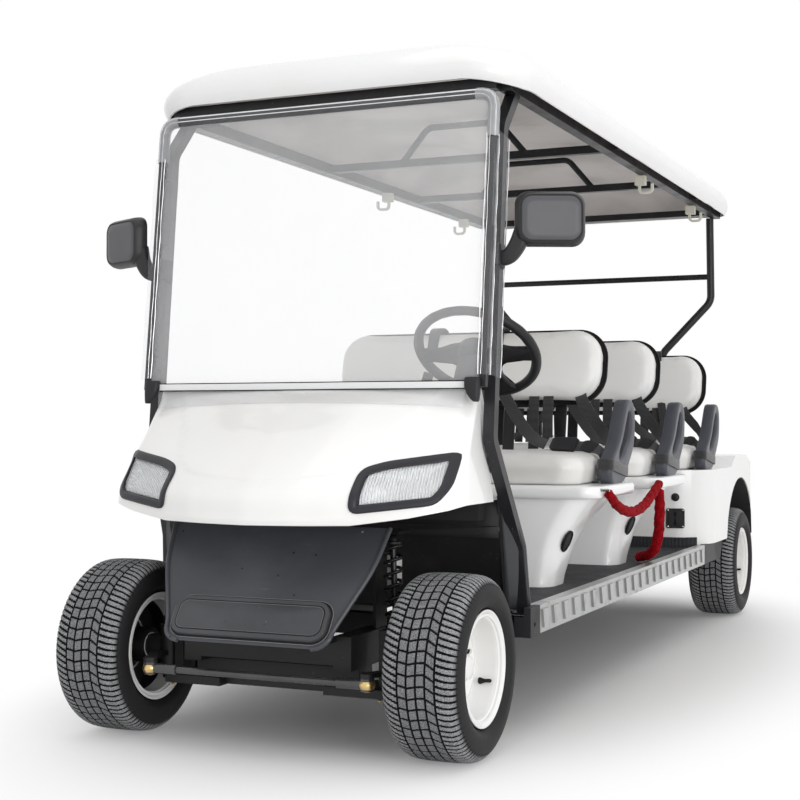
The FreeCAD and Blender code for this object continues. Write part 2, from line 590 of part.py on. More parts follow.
glass = box(-SCREEN_HALF_WIDTH, -GLASS / 2, 14, SCREEN_HALF_WIDTH, GLASS / 2, screen_length - 14)
top_tube = bent_rod([(-STILE_X, 0, screen_length - 120), (-STILE_X, 0, screen_length),
                     (STILE_X, 0, screen_length), (STILE_X, 0, screen_length - 120)], 13.0, 40.0)
half_stile = STILE_WIDTH / 2
stile = box(STILE_X - half_stile, -half_stile, 0, STILE_X + half_stile, half_stile, screen_length - 119)
stiles = pair(stile)
bottom_bar = box(-STILE_X, -8, 0, STILE_X, 8, 14)
clamps = []
for z in (60, 380, 610):
    clamps += pair(box(STILE_X - 11, 0, z, STILE_X + 11, 46, z + 40))
screen_frame = top_tube.fuse(stiles + clamps + [bottom_bar]).removeSplitter()
glass = glass.cut(screen_frame)
screen_frame = on_screen(screen_frame)
for s in SIDES:
    screen_frame = screen_frame.cut(side(front_post(), s))
save("windscreen", on_screen(glass))
save("windscreen_frame", screen_frame)


# Rear hoop: two posts bent in to the last backrest, with a grab bar between them

def rear_hoop():
    foot_x, foot_y, foot_z = HOOP_FOOT
    parts = []
    for s in SIDES:
        parts.append(bent_rod([(s * HOOP_X, HOOP_Y - 20, ROOF_RAIL_Z - 5), (s * HOOP_X, HOOP_Y, HOOP_KINK_Z),
                               (s * foot_x, foot_y, foot_z), (s * foot_x, foot_y + 20, BODY_TOP_FENDER + 1)],
                              TUBE_RADIUS, 70.0))
    bar = rod((-HOOP_X, HOOP_Y - 4, HOOP_BAR_Z), (HOOP_X, HOOP_Y - 4, HOOP_BAR_Z), 12.0)
    return below(parts[0].fuse([parts[1], bar]), ROOF_RAIL_Z - 17)


save("rear_hoop", rear_hoop())


# Roof frame: side rails, beams, cross bars with raised hoops, and hanging brackets

def along_roof(share):
    """The place along the cart at a share of the roof's length."""
    return ROOF_FRONT_Y + share * (ROOF_REAR_Y - ROOF_FRONT_Y)


def cross_bar(y, half_depth, half_height, half_length=ROOF_RAIL_X):
    return box(-half_length, y - half_depth, ROOF_RAIL_Z - half_height, half_length, y + half_depth,
               ROOF_RAIL_Z + half_height)


def roof_frame():
    rail = box(ROOF_RAIL_X - 17, ROOF_FRONT_Y + 74, ROOF_RAIL_Z - 17, ROOF_RAIL_X + 17, ROOF_REAR_Y - 74,
               ROOF_RAIL_Z + 17)
    parts = [cross_bar(ROOF_FRONT_Y + 61, 20, 15, ROOF_RAIL_X - 14),
             cross_bar(along_roof(ROOF_REAR_BAR_SHARE), 15, 13)]
    for share in ROOF_BAR_SHARES:
        y = along_roof(share)
        parts.append(cross_bar(y, 13, 13))
        parts.append(bent_rod([(-228, y, ROOF_RAIL_Z), (-128, y, ROOF_HOOP_TOP), (128, y, ROOF_HOOP_TOP),
                               (228, y, ROOF_RAIL_Z)], 11.0, 45.0))
    for share in ROOF_BRACKET_SHARES:
        y = along_roof(share)
        bracket = box(ROOF_RAIL_X + 8, y, ROOF_RAIL_Z - 4, ROOF_HALF_WIDTH + 6, y + 40, ROOF_BOTTOM + 14)
        parts += pair(bracket.common(roof_form(ROOF_WALL + FACE_CLEARANCE)))
    return rail.fuse([side(rail, -1)] + parts)


# Roof: a pan lofted through round-cornered level outlines, open below, with a thin grey liner inside

ROOF_LEVELS = ((0.0, 6.0, 150.0), (15.0, -1.0, 153.0), (33.0, -4.0, 156.0), (54.0, 2.0, 158.0),
               (78.0, 20.0, 161.0), (102.0, 52.0, 168.0), (122.0, 92.0, 174.0), (136.0, 140.0, 181.0),
               (144.0, 180.0, 187.0), (146.0, 215.0, 192.0))


def roof_form(inset):
    wires = []
    for n, (rise, draw_in, corner) in enumerate(ROOF_LEVELS):
        d = draw_in + inset
        z = ROOF_BOTTOM - (5.0 if inset else 0.0) if n == 0 else ROOF_BOTTOM + rise - inset
        half = ROOF_HALF_WIDTH - d
        wires.append(rounded_wire(-half, ROOF_FRONT_Y + d, half, ROOF_REAR_Y - d, corner - inset, z))
    return Part.makeLoft(wires, True, True)


save("roof_frame", roof_frame())
save("roof_shell", roof_form(0.0).cut(roof_form(ROOF_WALL)))
liner = roof_form(ROOF_WALL + LINER_GAP).cut(roof_form(ROOF_WALL + LINER_GAP + LINER_WALL))
liner = liner.common(box(-700, 0, ROOF_BOTTOM + 17, 700, ROOF_REAR_Y + 100, 2000))
save("roof_liner", liner)

clip_plate = box(ROOF_RAIL_X - 34, 0, ROOF_RAIL_Z - 50, ROOF_RAIL_X + 2, 30, ROOF_RAIL_Z - 17)
clip_loop = bent_bar([(ROOF_RAIL_X - 20, 15, ROOF_RAIL_Z - 46), (ROOF_RAIL_X - 20, 15, ROOF_RAIL_Z - 78),
                      (ROOF_RAIL_X + 26, 15, ROOF_RAIL_Z - 78), (ROOF_RAIL_X + 26, 15, ROOF_RAIL_Z - 46)],
                     9.0, 9.0, 14.0, (0, 1, 0))
clips = []
for share in ROOF_CLIP_SHARES:
    one = clip_plate.fuse(clip_loop)
    one.translate(V(0, along_roof(share), 0))
    clips += pair(one)
save("roof_clips", clips)


# Mirrors on short arms from the posts

def mirror_placed(shape):
    """Turns a mirror drawn along +X from the origin to its stand on the cart's left."""
    yaw = math.degrees(math.atan2(MIRROR_OUTER[1] - MIRROR_INNER[1], MIRROR_OUTER[0] - MIRROR_INNER[0]))
    shape.rotate(V(0, 0, 0), V(0, 0, 1), yaw)
    shape.translate(V(MIRROR_INNER[0], MIRROR_INNER[1], MIRROR_Z[0]))
    return shape


mirror_length = math.hypot(MIRROR_OUTER[0] - MIRROR_INNER[0], MIRROR_OUTER[1] - MIRROR_INNER[1])
mirror_height = MIRROR_Z[1] - MIRROR_Z[0]


def mirror_shell():
    outline = rounded_wire(0, 0, mirror_length, mirror_height, 24)
    small = rounded_wire(10, 10, mirror_length - 10, mirror_height - 10, 18, 38)
    block = Part.makeLoft([outline, small], True, True)
    block.rotate(V(0, 0, 0), V(1, 0, 0), 90)
    block = mirror_placed(block)
    recess = rounded_block(7, 7, mirror_length - 7, mirror_height - 7, 18, -1, 5)
    recess.rotate(V(0, 0, 0), V(1, 0, 0), 90)
    block = block.cut(mirror_placed(recess))
    arm = bent_rod([(POST_X, 210, 1262), (MIRROR_INNER[0] + 6, 200, 1262),
                    (MIRROR_INNER[0] + 24, 200, 1300)], 12.0, 14.0)
    clamp = box(POST_X - 22, 190, 1240, POST_X + 22, 228, 1290)
    return block.fuse([arm, clamp]).cut(front_post())


save("mirror_housings", pair(mirror_shell()))
plate = rounded_block(7.4, 7.4, mirror_length - 7.4, mirror_height - 7.4, 17.6, 1.0, 4.0)
plate.rotate(V(0, 0, 0), V(1, 0, 0), 90)
save("mirror_glasses", pair(mirror_placed(plate)))


# Seat pods: tapered moulded plinths with a thick lip, hollow from below

def pod_form(inset, front_y):
    """The plinth under the lip: it flares out and back as it rises."""
    wires = []
    for rise, flare in ((0.0, 0.0), (0.42, 0.2), (0.75, 0.58), (1.0, 1.0)):
        half = POD_FOOT_HALF_WIDTH + flare * (POD_LIP_HALF_WIDTH - 44 - POD_FOOT_HALF_WIDTH) - inset
        y0 = front_y - 14 + 28 * rise + inset
        y1 = front_y - 14 + POD_FOOT_LENGTH + flare * (POD_LIP_LENGTH - POD_FOOT_LENGTH - 46) - inset
        z0 = FLOOR_Z + MAT_THICKNESS - (3 if inset else 0)
        z = z0 + rise * (POD_TOP - POD_LIP - inset - z0)
        wires.append(rounded_wire(-half, y0, half, y1, 55 + 15 * rise - inset, z))
    return Part.makeLoft(wires, True, True)


def seat_pod(front_y):
    lip = rounded_block(-POD_LIP_HALF_WIDTH, front_y - 8, POD_LIP_HALF_WIDTH, front_y + POD_LIP_LENGTH, 60,
                        POD_TOP - POD_LIP, POD_TOP)
    lip = lip.makeFillet(10, [e for e in lip.Edges if abs(e.BoundBox.ZMin - POD_TOP) < 0.1])
    pod = pod_form(0.0, front_y).fuse(lip).cut(pod_form(POD_WALL, front_y))
    vent_y = front_y + 62
    for s in SIDES:
        start, end = (s * 300, vent_y, 470), (s * 700, vent_y, 470)
        pod = pod.cut(rod(start, end, VENT_RADIUS))
    return pod


pods = [seat_pod(ROW_Y[0]), seat_pod(ROW_Y[1])]
save("seat_pods", pods)


# Rear body: white moulding with wheel arches that carries the third row

def body_form(inset):
    """The rear moulding's outer form, or the hollow inside it."""
    y0, y1, half = BODY_FRONT_Y + inset, BODY_REAR_Y - inset, BODY_HALF_WIDTH - inset
    base = BODY_BOTTOM - (4 if inset else 0)
    plan = body_plan(-inset, base, BODY_TOP_FENDER + 30)
    t = inset
    front_top, fender_top, back = BODY_TOP_FRONT - t, BODY_TOP_FENDER - t, BODY_REAR_Y + 15
    outline = [(y0 - 10, base), (y0 - 10, front_top), (WHEELBASE - 188, front_top),
               (WHEELBASE - 98, fender_top - 6), (WHEELBASE - 38, fender_top),
               (WHEELBASE + 142, fender_top - 4), (WHEELBASE + 292, 640 - t), (BODY_REAR_Y - t, 520),
               (back, 520), (back, base)]
    return plan.common(prism_yz(outline, -half - 10, half + 10))


def arch_cut(grow):
    """The wheel opening: sides that lean in to a round top."""
    y, low, r, top = WHEELBASE + 10, 320.0, ARCH_RADIUS + grow, ARCH_TOP + grow
    spring_line = 430.0
    foot = (V(0, y - r - 8, low), V(0, y + r, low))
    shoulder = (V(0, y - r + 26, spring_line), V(0, y + r - 14, spring_line))
    crown = Part.Arc(shoulder[0], V(0, y + 12, top), shoulder[1]).toShape()
    edges = [Part.LineSegment(foot[0], shoulder[0]).toShape(), crown,
             Part.LineSegment(shoulder[1], foot[1]).toShape(), Part.LineSegment(foot[1], foot[0]).toShape()]
    return Part.Face(Part.Wire(edges))


def rear_body():
    shell = body_form(0.0).cut(body_form(BODY_WALL))
    for s in SIDES:
        shell = shell.cut(side(box(MAT_HALF_WIDTH + 10, BODY_FRONT_Y, 300, 700, 4000, SKIRT_BOTTOM), s))
    for s in SIDES:
        cutter = arch_cut(0.0).extrude(V(s * 330, 0, 0))
        cutter.translate(V(s * (LINER_INNER_X - 6), 0, 0))
        shell = shell.cut(cutter)
    return shell


body_shell = rear_body()
save("rear_body", body_shell)


def arch_liner():
    """A black inner wheel house that stands behind the arch's edge."""
    depth = BODY_HALF_WIDTH - LINER_INNER_X
    outer = arch_cut(-0.4).extrude(V(depth - 4, 0, 0))
    inner = arch_cut(-5.0).extrude(V(depth + 10, 0, 0))
    inner.translate(V(5, 0, 0))
    liner_shell = outer.cut(inner)
    liner_shell.translate(V(LINER_INNER_X, 0, 0))
    return liner_shell.common(box(0, BODY_FRONT_Y, BODY_BOTTOM, 900, REAR_END, 900))


save("arch_liners", pair(arch_liner()))

bumper_x, bumper_y = BODY_HALF_WIDTH - 37, BODY_REAR_Y + FACE_CLEARANCE
bumper = box(-bumper_x, bumper_y, 360, bumper_x, REAR_END, 430)
bumper_arms = pair(box(RAIL_X - 20, RAIL_REAR_Y, RAIL_TOP + 6, RAIL_X + 20, REAR_END, BODY_BOTTOM - 1))
bumper_posts = pair(box(RAIL_X - 20, bumper_y, RAIL_TOP + 6, RAIL_X + 20, REAR_END, 362))
save("rear_bumper", bumper.fuse(bumper_arms + bumper_posts))
lamp = box(bumper_x - 110, bumper_y, 450, bumper_x, BODY_REAR_Y + 10, 505)
save("tail_lamps", pair(lamp))


# Seats: bottom cushions, backrests with black shells, armrests and lap belts

cushion_front = 16.0
cushions = []
for n, y in enumerate(ROW_Y):
    base = POD_TOP + FACE_CLEARANCE
    x = ARMREST_X[n] - ARMREST_WIDTH / 2 - 5
    y0, y1 = y + cushion_front, y + cushion_front + CUSHION_LENGTH
    low = rounded_wire(-x, y0, x, y1, 70, base)
    mid = rounded_wire(-x - 4, y0 - 4, x + 4, y1 + 4, 74, base + CUSHION_HEIGHT * 0.45)
    top = rounded_wire(-x + 34, y0 + 34, x - 34, y1 - 30, 50, base + CUSHION_HEIGHT)
    cushions.append(Part.makeLoft([low, mid, top], True, True))
save("seat_cushions", cushions)


def back_block(row, depth0, depth1, grow):
    """A rounded slab from depth0 to depth1 behind the backrest's front plane, before it is leaned."""
    half = BACK_HALF_WIDTHS[row] + grow
    block = rounded_block(-half, -grow, half, BACK_HEIGHT + grow, BACK_CORNER + grow, 0, depth1 - depth0)
    block.rotate(V(0, 0, 0), V(1, 0, 0), 90)
    block.translate(V(0, depth1, 0))
    return block


def lean(shape, row):
    shape.rotate(V(0, 0, 0), V(1, 0, 0), -BACK_TILT)
    shape.translate(V(0, ROW_BACK_Y[row] - 20, ROW_BACK_Z[row]))
    return shape


def leaned(x, depth, rise, row):
    """A point at a depth behind the backrest's front plane and a rise above its lower edge."""
    c, s = math.cos(math.radians(BACK_TILT)), math.sin(math.radians(BACK_TILT))
    return (x, ROW_BACK_Y[row] - 20 + depth * c + rise * s, ROW_BACK_Z[row] - depth * s + rise * c)


seats_carry = pods + [body_shell]
backrests, shells, supports = [], [], []
for row in range(3):
    backrests.append(lean(back_block(row, 0, BACK_THICKNESS, -3), row))
    shell_front = BACK_THICKNESS + FACE_CLEARANCE
    shell = back_block(row, shell_front, shell_front + BACK_SHELL, 2)
    shells.append(lean(shell, row))
    for s in SIDES:
        for x in (150.0, 262.0 if row == 2 else 330.0):
            behind = BACK_THICKNESS + BACK_SHELL + STRUT_THICKNESS / 2 + 2 * FACE_CLEARANCE
            strut = bent_bar([(s * x, ROW_Y[row] + STRUT_FOOT, POD_TOP), leaned(s * x, behind, 20.0, row),
                              leaned(s * x, behind, 170.0, row)], 38.0, STRUT_THICKNESS, 60.0, (1, 0, 0))
            if row == 2 and x > 200:
                continue
            supports.append(strut.cut(seats_carry[row]))
save("backrests", backrests)
save("backrest_shells", shells)
save("backrest_struts", supports)


def armrest(row):
    """A leaning closed loop with a long finger slot, on a short foot."""
    x0, y0 = ARMREST_X[row], ARMREST_Y[row]
    z0 = POD_TOP
    outer = [(y0 - 10, z0), (y0 + 120, z0), (y0 + 250, z0 + 120), (y0 + 262, z0 + 225), (y0 + 225, z0 + 262),
             (y0 + 165, z0 + 262), (y0 + 110, z0 + 180), (y0 - 30, z0 + 50)]
    inner = [(y0 + 105, z0 + 90), (y0 + 205, z0 + 150), (y0 + 212, z0 + 205), (y0 + 185, z0 + 222),
             (y0 + 160, z0 + 190)]
    half = ARMREST_WIDTH / 2
    loop = prism_yz(outer, x0 - half, x0 + half)
    return loop.cut(prism_yz(inner, x0 - half - 1, x0 + half + 1))


armrests = []
for row in range(3):
    armrests += pair(armrest(row))
save("armrests", armrests)

belts = []
for row in range(3):
    z = POD_TOP + CUSHION_HEIGHT + 2 * FACE_CLEARANCE
    y = ROW_Y[row] + 260
    for s in SIDES:
        belts.append(side(box(60, y, z, 470, y + 46, z + 3), s))
save("seat_belts", belts)


# Steering wheel and column, pedals

def column_frame(shape):
    """Leans a shape drawn about +Z to the steering column's axis at the wheel's centre."""
    shape.rotate(V(0, 0, 0), V(1, 0, 0), -COLUMN_TILT)
    shape.translate(V(*WHEEL_CENTRE))
    return shape


def steering_wheel():
    turns = [math.radians(22.5 + 45 * n) for n in range(8)]
    r, grip = WHEEL_RIM_RADIUS, WHEEL_GRIP_RADIUS
    section = [V(r + grip * math.cos(a), 0, grip * math.sin(a)) for a in turns]
    ring = Part.Face(Part.makePolygon(section + section[:1])).revolve(V(0, 0, 0), V(0, 0, 1), 360)
    hub = Part.makeCylinder(58, 34, V(0, 0, -26))
    right = [(62, -34), (r, -16), (r, 26), (66, 40), (44, r)]
    spread = right + [(-x, y) for x, y in reversed(right)]
    corners = [V(x, y, -12) for x, y in spread]
    spokes = Part.Face(Part.makePolygon(corners + corners[:1])).extrude(V(0, 0, 16))
    return column_frame(ring.fuse([hub, spokes]).cut(Part.makeCylinder(11, 20, V(0, 0, -27))))


save("steering_wheel", steering_wheel())
column = Part.makeCylinder(21, COLUMN_LENGTH - 60, V(0, 0, -COLUMN_LENGTH))
shroud = Part.makeCone(40, 46, 120, V(0, 0, -170))
shaft = Part.makeCylinder(10.5, 50, V(0, 0, -60))
save("steering_column", column_frame(column.fuse([shroud, shaft])).cut(dash))

pedals = []
for x, w in ((235.0, 45.0), (350.0, 32.0)):
    pad_block = box(x, 304, 430, x + w * 2, 316, 500)
    stalk = rod((x + w, 310, 450), (x + w, 238, 650), 7)
    pedals.append(pad_block.fuse(stalk).cut(dash))
save("pedals", pedals)


# Charging socket and key knob on the rear body's front corner

def on_corner(half_x, half_z, depth, z):
    """A rounded plate that stands depth proud of the rear body's round front corner."""
    turn = math.radians(SOCKET_TURN)
    plate = rounded_block(-half_x, -half_z, half_x, half_z, min(half_x, half_z) * 0.2, -20, depth)
    plate.rotate(V(0, 0, 0), V(1, 0, 0), 90)
    plate.rotate(V(0, 0, 0), V(0, 0, 1), SOCKET_TURN)
    r = BODY_CORNER
    plate.translate(V(BODY_HALF_WIDTH - r + r * math.sin(turn), BODY_FRONT_Y + r - r * math.cos(turn), z))
    return plate.cut(body_plan(0.0, 300, 800))


save("charge_socket", [on_corner(36, 39, 5, 450), on_corner(15, 15, 12, 533)])


# Front suspension: cross member, lower arms with kingpin carriers, and coil-over shocks

def front_suspension():
    z = TYRE_RADIUS
    half = KINGPIN_HEIGHT / 2
    cross = box(-RAIL_X - 20, -40, 150, RAIL_X + 20, 40, RAIL_BOTTOM)
    parts = []
    r = KINGPIN_EYE_RADIUS
    for s in SIDES:
        arm_top = z - half - FACE_CLEARANCE
        arm = box(150, -ARM_HALF_WIDTH, z - half - 22, KINGPIN_X - 30, ARM_HALF_WIDTH, arm_top)
        parts.append(side(arm, s))
        parts.append(side(box(KINGPIN_X - 60, -30, z - half - 10, KINGPIN_X - 34, 30, z + half + 22), s))
        for low, high in ((z - half - 22, arm_top), (z + half + FACE_CLEARANCE, z + half + 22)):
            parts.append(side(box(KINGPIN_X - 60, -r, low, KINGPIN_X, r, high), s))
            parts.append(rod((s * KINGPIN_X, 0, low), (s * KINGPIN_X, 0, high), r))
        parts.append(rod((s * KINGPIN_X, 0, z - half - 4), (s * KINGPIN_X, 0, z + half + 4), KINGPIN_RADIUS))
    return cross.fuse(parts)


suspension = front_suspension()
save("front_suspension", suspension)

shock_foot, shock_head = (KINGPIN_X - 47, 62.0, 168.0), (268.0, 92.0, 540.0)


def shock():
    a, b = V(*shock_foot), V(*shock_head)
    d = b - a
    at = lambda t: tuple(a + d * t)
    body_tube = rod(at(-0.02), at(0.55), 15)
    shaft_tube = rod(at(0.5), at(1.03), 8)
    coils = [rod(at(0.32 + 0.1 * k), at(0.348 + 0.1 * k), 28) for k in range(6)]
    return body_tube.fuse([shaft_tube] + coils)


tower = prism_yz([(60, RAIL_TOP), (130, RAIL_TOP), (130, 556), (60, 556)], 228, 236)
tower = tower.fuse(box(228, 60, 544, 300, 130, 552))
save("upper_rails", rear_rails + deck_bars + panel_stays + pair(tower))
shock_body = max(shock().cut(tower).cut(suspension).Solids, key=lambda solid: solid.Volume)
save("shock_absorbers", pair(shock_body))


# Rear axle with its motor, leaf springs and the battery block

def rear_axle():
    z = TYRE_RADIUS
    hub_back = REAR_WHEEL_X + DISC_OFFSET - HUB_LENGTH
    shaft_end = REAR_WHEEL_X + DISC_OFFSET + 34
    tube = rod((-hub_back + 8, WHEELBASE, z), (hub_back - 8, WHEELBASE, z), 34)
    shafts = rod((-shaft_end, WHEELBASE, z), (shaft_end, WHEELBASE, z), SPINDLE_RADIUS)
    case = Part.makeSphere(92, V(60, WHEELBASE, z))
    case = case.common(box(-60, WHEELBASE - 92, z - 74, 160, WHEELBASE + 92, z + 74))
    motor = rod((90, WHEELBASE - 150, z + 6), (-140, WHEELBASE - 150, z + 6), 84)
    flange = box(60, WHEELBASE - 190, z - 60, 96, WHEELBASE, z + 60)
    pads = pair(rod((SPRING_X - 30, WHEELBASE, z), (SPRING_X + 30, WHEELBASE, z), 40))
    return tube.fuse([shafts, case, motor, flange] + pads)


save("rear_axle", rear_axle())


def leaf_spring():
    inner, outer = SPRING_X - SPRING_WIDTH / 2, SPRING_X + SPRING_WIDTH / 2
    spring = bent_bar([(SPRING_X, SPRING_FRONT_Y, SPRING_EYE_Z), (SPRING_X, WHEELBASE - 200, SPRING_LOW_Z),
                       (SPRING_X, WHEELBASE + 160, SPRING_LOW_Z), (SPRING_X, SPRING_REAR_Y, SPRING_EYE_Z)],
                      SPRING_WIDTH - 4, 12.0, 160.0, (1, 0, 0))
    eyes = [rod((inner, y, SPRING_EYE_Z), (outer, y, SPRING_EYE_Z), 17)
            for y in (SPRING_FRONT_Y, SPRING_REAR_Y)]
    return spring.fuse(eyes)


save("leaf_springs", pair(leaf_spring().cut(rear_axle())))
save("battery_block", box(-300, RAIL_STEP_Y + 2, RAIL_STEP_TOP, 300, RAIL_STEP_Y + 300, RAIL_STEP_TOP + 245))


# Rope hooks on the pods' lips, and the red rope that hangs between them

ROPE_RADIUS = 16.5
DROP_RADIUS = 19.0
STEM_RADIUS = 4.0
LIP_X = POD_LIP_HALF_WIDTH
HOOK_ROOTS = ((LIP_X - 3.0, ROW_Y[0] + 40.0), (LIP_X - 14.0, ROW_Y[1] + 21.0))
HOOK_TIPS = ((LIP_X + 24.0, ROW_Y[0] + 39.0), (LIP_X + 8.0, ROW_Y[1] - 3.0))
HOOK_Z = POD_TOP - 12.0
HANGER = (LIP_X + 2.5, ROW_Y[1] + 3.0)
HANGER_LOW_Z = 606.0


def rope_hook(root, tip):
    """A stem that stands out of the lip's round corner, with its round base plate."""
    run = (V(*tip, HOOK_Z) - V(*root, HOOK_Z)).normalize()
    stem = rod((*root, HOOK_Z), (*tip, HOOK_Z), STEM_RADIUS)
    plate = Part.makeCylinder(6.0, 8, V(*root, HOOK_Z) - run * 6, run)
    return stem.fuse(plate)


hooks = [rope_hook(root, tip) for root, tip in zip(HOOK_ROOTS, HOOK_TIPS)]
hooks[1] = hooks[1].fuse(rod((*HANGER, HOOK_Z), (*HANGER, HANGER_LOW_Z), STEM_RADIUS - 1))
save("rope_hooks", [hook.cut(pod) for hook, pod in zip(hooks, pods)])


def off_hook(n, along, toward):
    """Where a rope that leads to a point starts, just off the hook's stem."""
    root, tip = V(*HOOK_ROOTS[n], HOOK_Z), V(*HOOK_TIPS[n], HOOK_Z)
    hook = root + (tip - root) * along
    return tuple(hook + (V(*toward) - hook).normalize() * (STEM_RADIUS + 2 * FACE_CLEARANCE))


def cord_tube(name, points, radius):
    """A cord's tube: each corner is an arc as large as its two runs allow."""
    p = [V(*q) for q in points]
    face = Part.Face(Part.Wire([Part.makeCircle(radius, p[0], p[1] - p[0])]))
    solids, at, length, radii = [], p[0], 0.0, []
    for before, corner, after in zip(p, p[1:], p[2:]):
        u, w = (before - corner).normalize(), (after - corner).normalize()
        half_turn = (math.pi - u.getAngle(w)) / 2.0
        cut = 0.45 * min((corner - before).Length, (after - corner).Length)
        bend = cut / math.tan(half_turn)
        radii.append(round(bend))
        enter = corner + u * cut
        centre = corner + (u + w).normalize() * (bend / math.cos(half_turn))
        axis = u.cross(w).normalize() * -1.0
        turn = math.degrees(2 * half_turn)
        solids.append(face.extrude(enter - at))
        length += (enter - at).Length + bend * 2 * half_turn
        face.translate(enter - at)
        solids.append(face.revolve(centre, axis, turn))
        face.rotate(centre, axis, turn)
        at = corner + w * cut
    solids.append(face.extrude(p[-1] - at))
    length += (p[-1] - at).Length
    tube = solids[0].fuse(solids[1:])
    print(name, "radii", radii, "length", round(length), "volume ratio",
          round(tube.Volume / (math.pi * radius ** 2 * length), 4))
    return tube


swag_low = [(617, 940, 592), (617, 1036, 562), (617, 1160, 545), (616, 1300, 554), (612, 1434, 587)]
swag_route = [off_hook(0, 0.74, swag_low[0])] + swag_low + [off_hook(1, 0.98, swag_low[-1])]
drop_route = [(*HANGER, HANGER_LOW_Z - FACE_CLEARANCE), (604, 1578, 556), (598, 1594, 486), (588, 1612, 420),
              (562, 1638, 375), (522, 1668, 362), (494, 1688, 356)]
save("rope_swag", cord_tube("rope_swag", swag_route, ROPE_RADIUS))
save("rope_drop", cord_tube("rope_drop", drop_route, DROP_RADIUS))
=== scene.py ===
"""A six-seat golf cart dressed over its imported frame: body skins, tyres, cushions, ropes and finishes.

Shapes are drawn in millimetres on the source's own axes, X to the cart's left, Y rearward from the front
axle and Z up, and moved into the frame when they become meshes. Finishes work in metres on each piece's
own coordinates.
"""

import math

import bmesh
import bpy
import numpy as np
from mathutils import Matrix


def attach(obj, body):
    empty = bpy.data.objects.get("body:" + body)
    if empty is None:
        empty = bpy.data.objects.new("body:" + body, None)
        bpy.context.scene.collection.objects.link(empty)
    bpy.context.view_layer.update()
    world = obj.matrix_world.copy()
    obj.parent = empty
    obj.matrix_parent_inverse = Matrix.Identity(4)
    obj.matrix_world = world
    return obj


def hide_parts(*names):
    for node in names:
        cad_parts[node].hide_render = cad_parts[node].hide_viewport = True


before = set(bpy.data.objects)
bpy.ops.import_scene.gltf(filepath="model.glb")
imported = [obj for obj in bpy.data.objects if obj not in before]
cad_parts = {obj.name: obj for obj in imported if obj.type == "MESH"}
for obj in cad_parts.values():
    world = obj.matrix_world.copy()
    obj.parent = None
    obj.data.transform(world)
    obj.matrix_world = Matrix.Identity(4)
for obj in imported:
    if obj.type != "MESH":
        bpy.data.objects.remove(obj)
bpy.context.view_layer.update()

MIDDLE_Y = 1605.25
SIDES = (1, -1)
TURN = 2 * math.pi


# Surfaces on grids


def placed(points):
    """Millimetres on the source's axes, as metres about the frame's origin."""
    return (np.asarray(points, float).reshape(-1, 3) - (0.0, MIDDLE_Y, 0.0)) * 0.001


def skin(points, wrap_rows=False, wrap_columns=False, lids=()):
    """A grid of points as (points, faces): neighbours in rows and columns make four-sided faces, round
    to the first where a direction wraps, and a lid closes the first row (0) or the last (-1) with a fan
    about its mean point."""
    points = np.asarray(points, float)
    rows, columns = points.shape[:2]
    i, j = np.meshgrid(np.arange(rows - (not wrap_rows)), np.arange(columns - (not wrap_columns)),
                       indexing="ij")
    i2, j2 = (i + 1) % rows, (j + 1) % columns
    quads = np.stack([i * columns + j, i2 * columns + j, i2 * columns + j2, i * columns + j2], -1)
    corners, faces = [points.reshape(-1, 3)], quads.reshape(-1, 4).tolist()
    for n, row in enumerate(lids):
        at = (0 if row == 0 else rows - 1) * columns + np.arange(columns)
        middle = np.full(columns, rows * columns + n)
        fan = np.stack([at, np.roll(at, -1), middle], -1)
        corners.append(points[row].mean(0, keepdims=True))
        faces += (fan if wrap_columns else fan[:-1]).tolist()
    return np.concatenate(corners), faces


def join(parts):
    """Several (points, faces) as one."""
    corners, faces, start = [], [], 0
    for points, part_faces in parts:
        corners.append(points)
        faces += [[start + k for k in face] for face in part_faces]
        start += len(points)
    return np.concatenate(corners), faces


def smooth_line(points, count, closed=False):
    """A Catmull-Rom curve through the points: each span is the cubic whose slopes are half the step
    between the neighbours of its ends. count is the number of points along the whole line."""
    p = np.asarray(points, float)
    spans = len(p) if closed else len(p) - 1
    if closed:
        knots = np.concatenate([p[-1:], p, p[:2]])
    else:
        knots = np.concatenate([2 * p[:1] - p[1:2], p, 2 * p[-1:] - p[-2:-1]])
    t = np.linspace(0, spans, count, endpoint=not closed)
    k = np.minimum(t.astype(int), spans - 1)
    f = (t - k)[:, None]
    a, b, c, d = (knots[k + m] for m in range(4))
    rise, bend, twist = c - a, 2 * a - 5 * b + 4 * c - d, 3 * b - a - 3 * c + d
    return 0.5 * (2 * b + rise * f + bend * f ** 2 + twist * f ** 3)


def bent_line(points, radius, steps=6):
    """Straight runs joined by arcs: each corner is left and met at an equal distance along its two runs,
    and the arc between is a quadratic blend of the three points."""
    p = np.asarray(points, float)
    before, corner, after = p[:-2], p[1:-1], p[2:]
    lengths = np.minimum(np.linalg.norm(corner - before, axis=1), np.linalg.norm(after - corner, axis=1))
    cut = np.minimum(radius, 0.45 * lengths)[:, None]
    enter = corner + (before - corner) / np.linalg.norm(before - corner, axis=1, keepdims=True) * cut
    leave = corner + (after - corner) / np.linalg.norm(after - corner, axis=1, keepdims=True) * cut
    f = np.linspace(0, 1, steps)[None, :, None]
    arcs = (1 - f) ** 2 * enter[:, None] + 2 * f * (1 - f) * corner[:, None] + f ** 2 * leave[:, None]
    return np.concatenate([p[:1], arcs.reshape(-1, 3), p[-1:]])


def resample(line, count, closed=False):
    """The same line with points at equal distances along it."""
    line = np.asarray(line, float)
    if closed:
        line = np.concatenate([line, line[:1]])
    steps = np.linalg.norm(np.diff(line, axis=0), axis=1)
    along = np.concatenate([[0.0], np.cumsum(steps)])
    at = np.linspace(0, along[-1], count, endpoint=not closed)
    return np.stack([np.interp(at, along, line[:, k]) for k in range(line.shape[1])], 1)


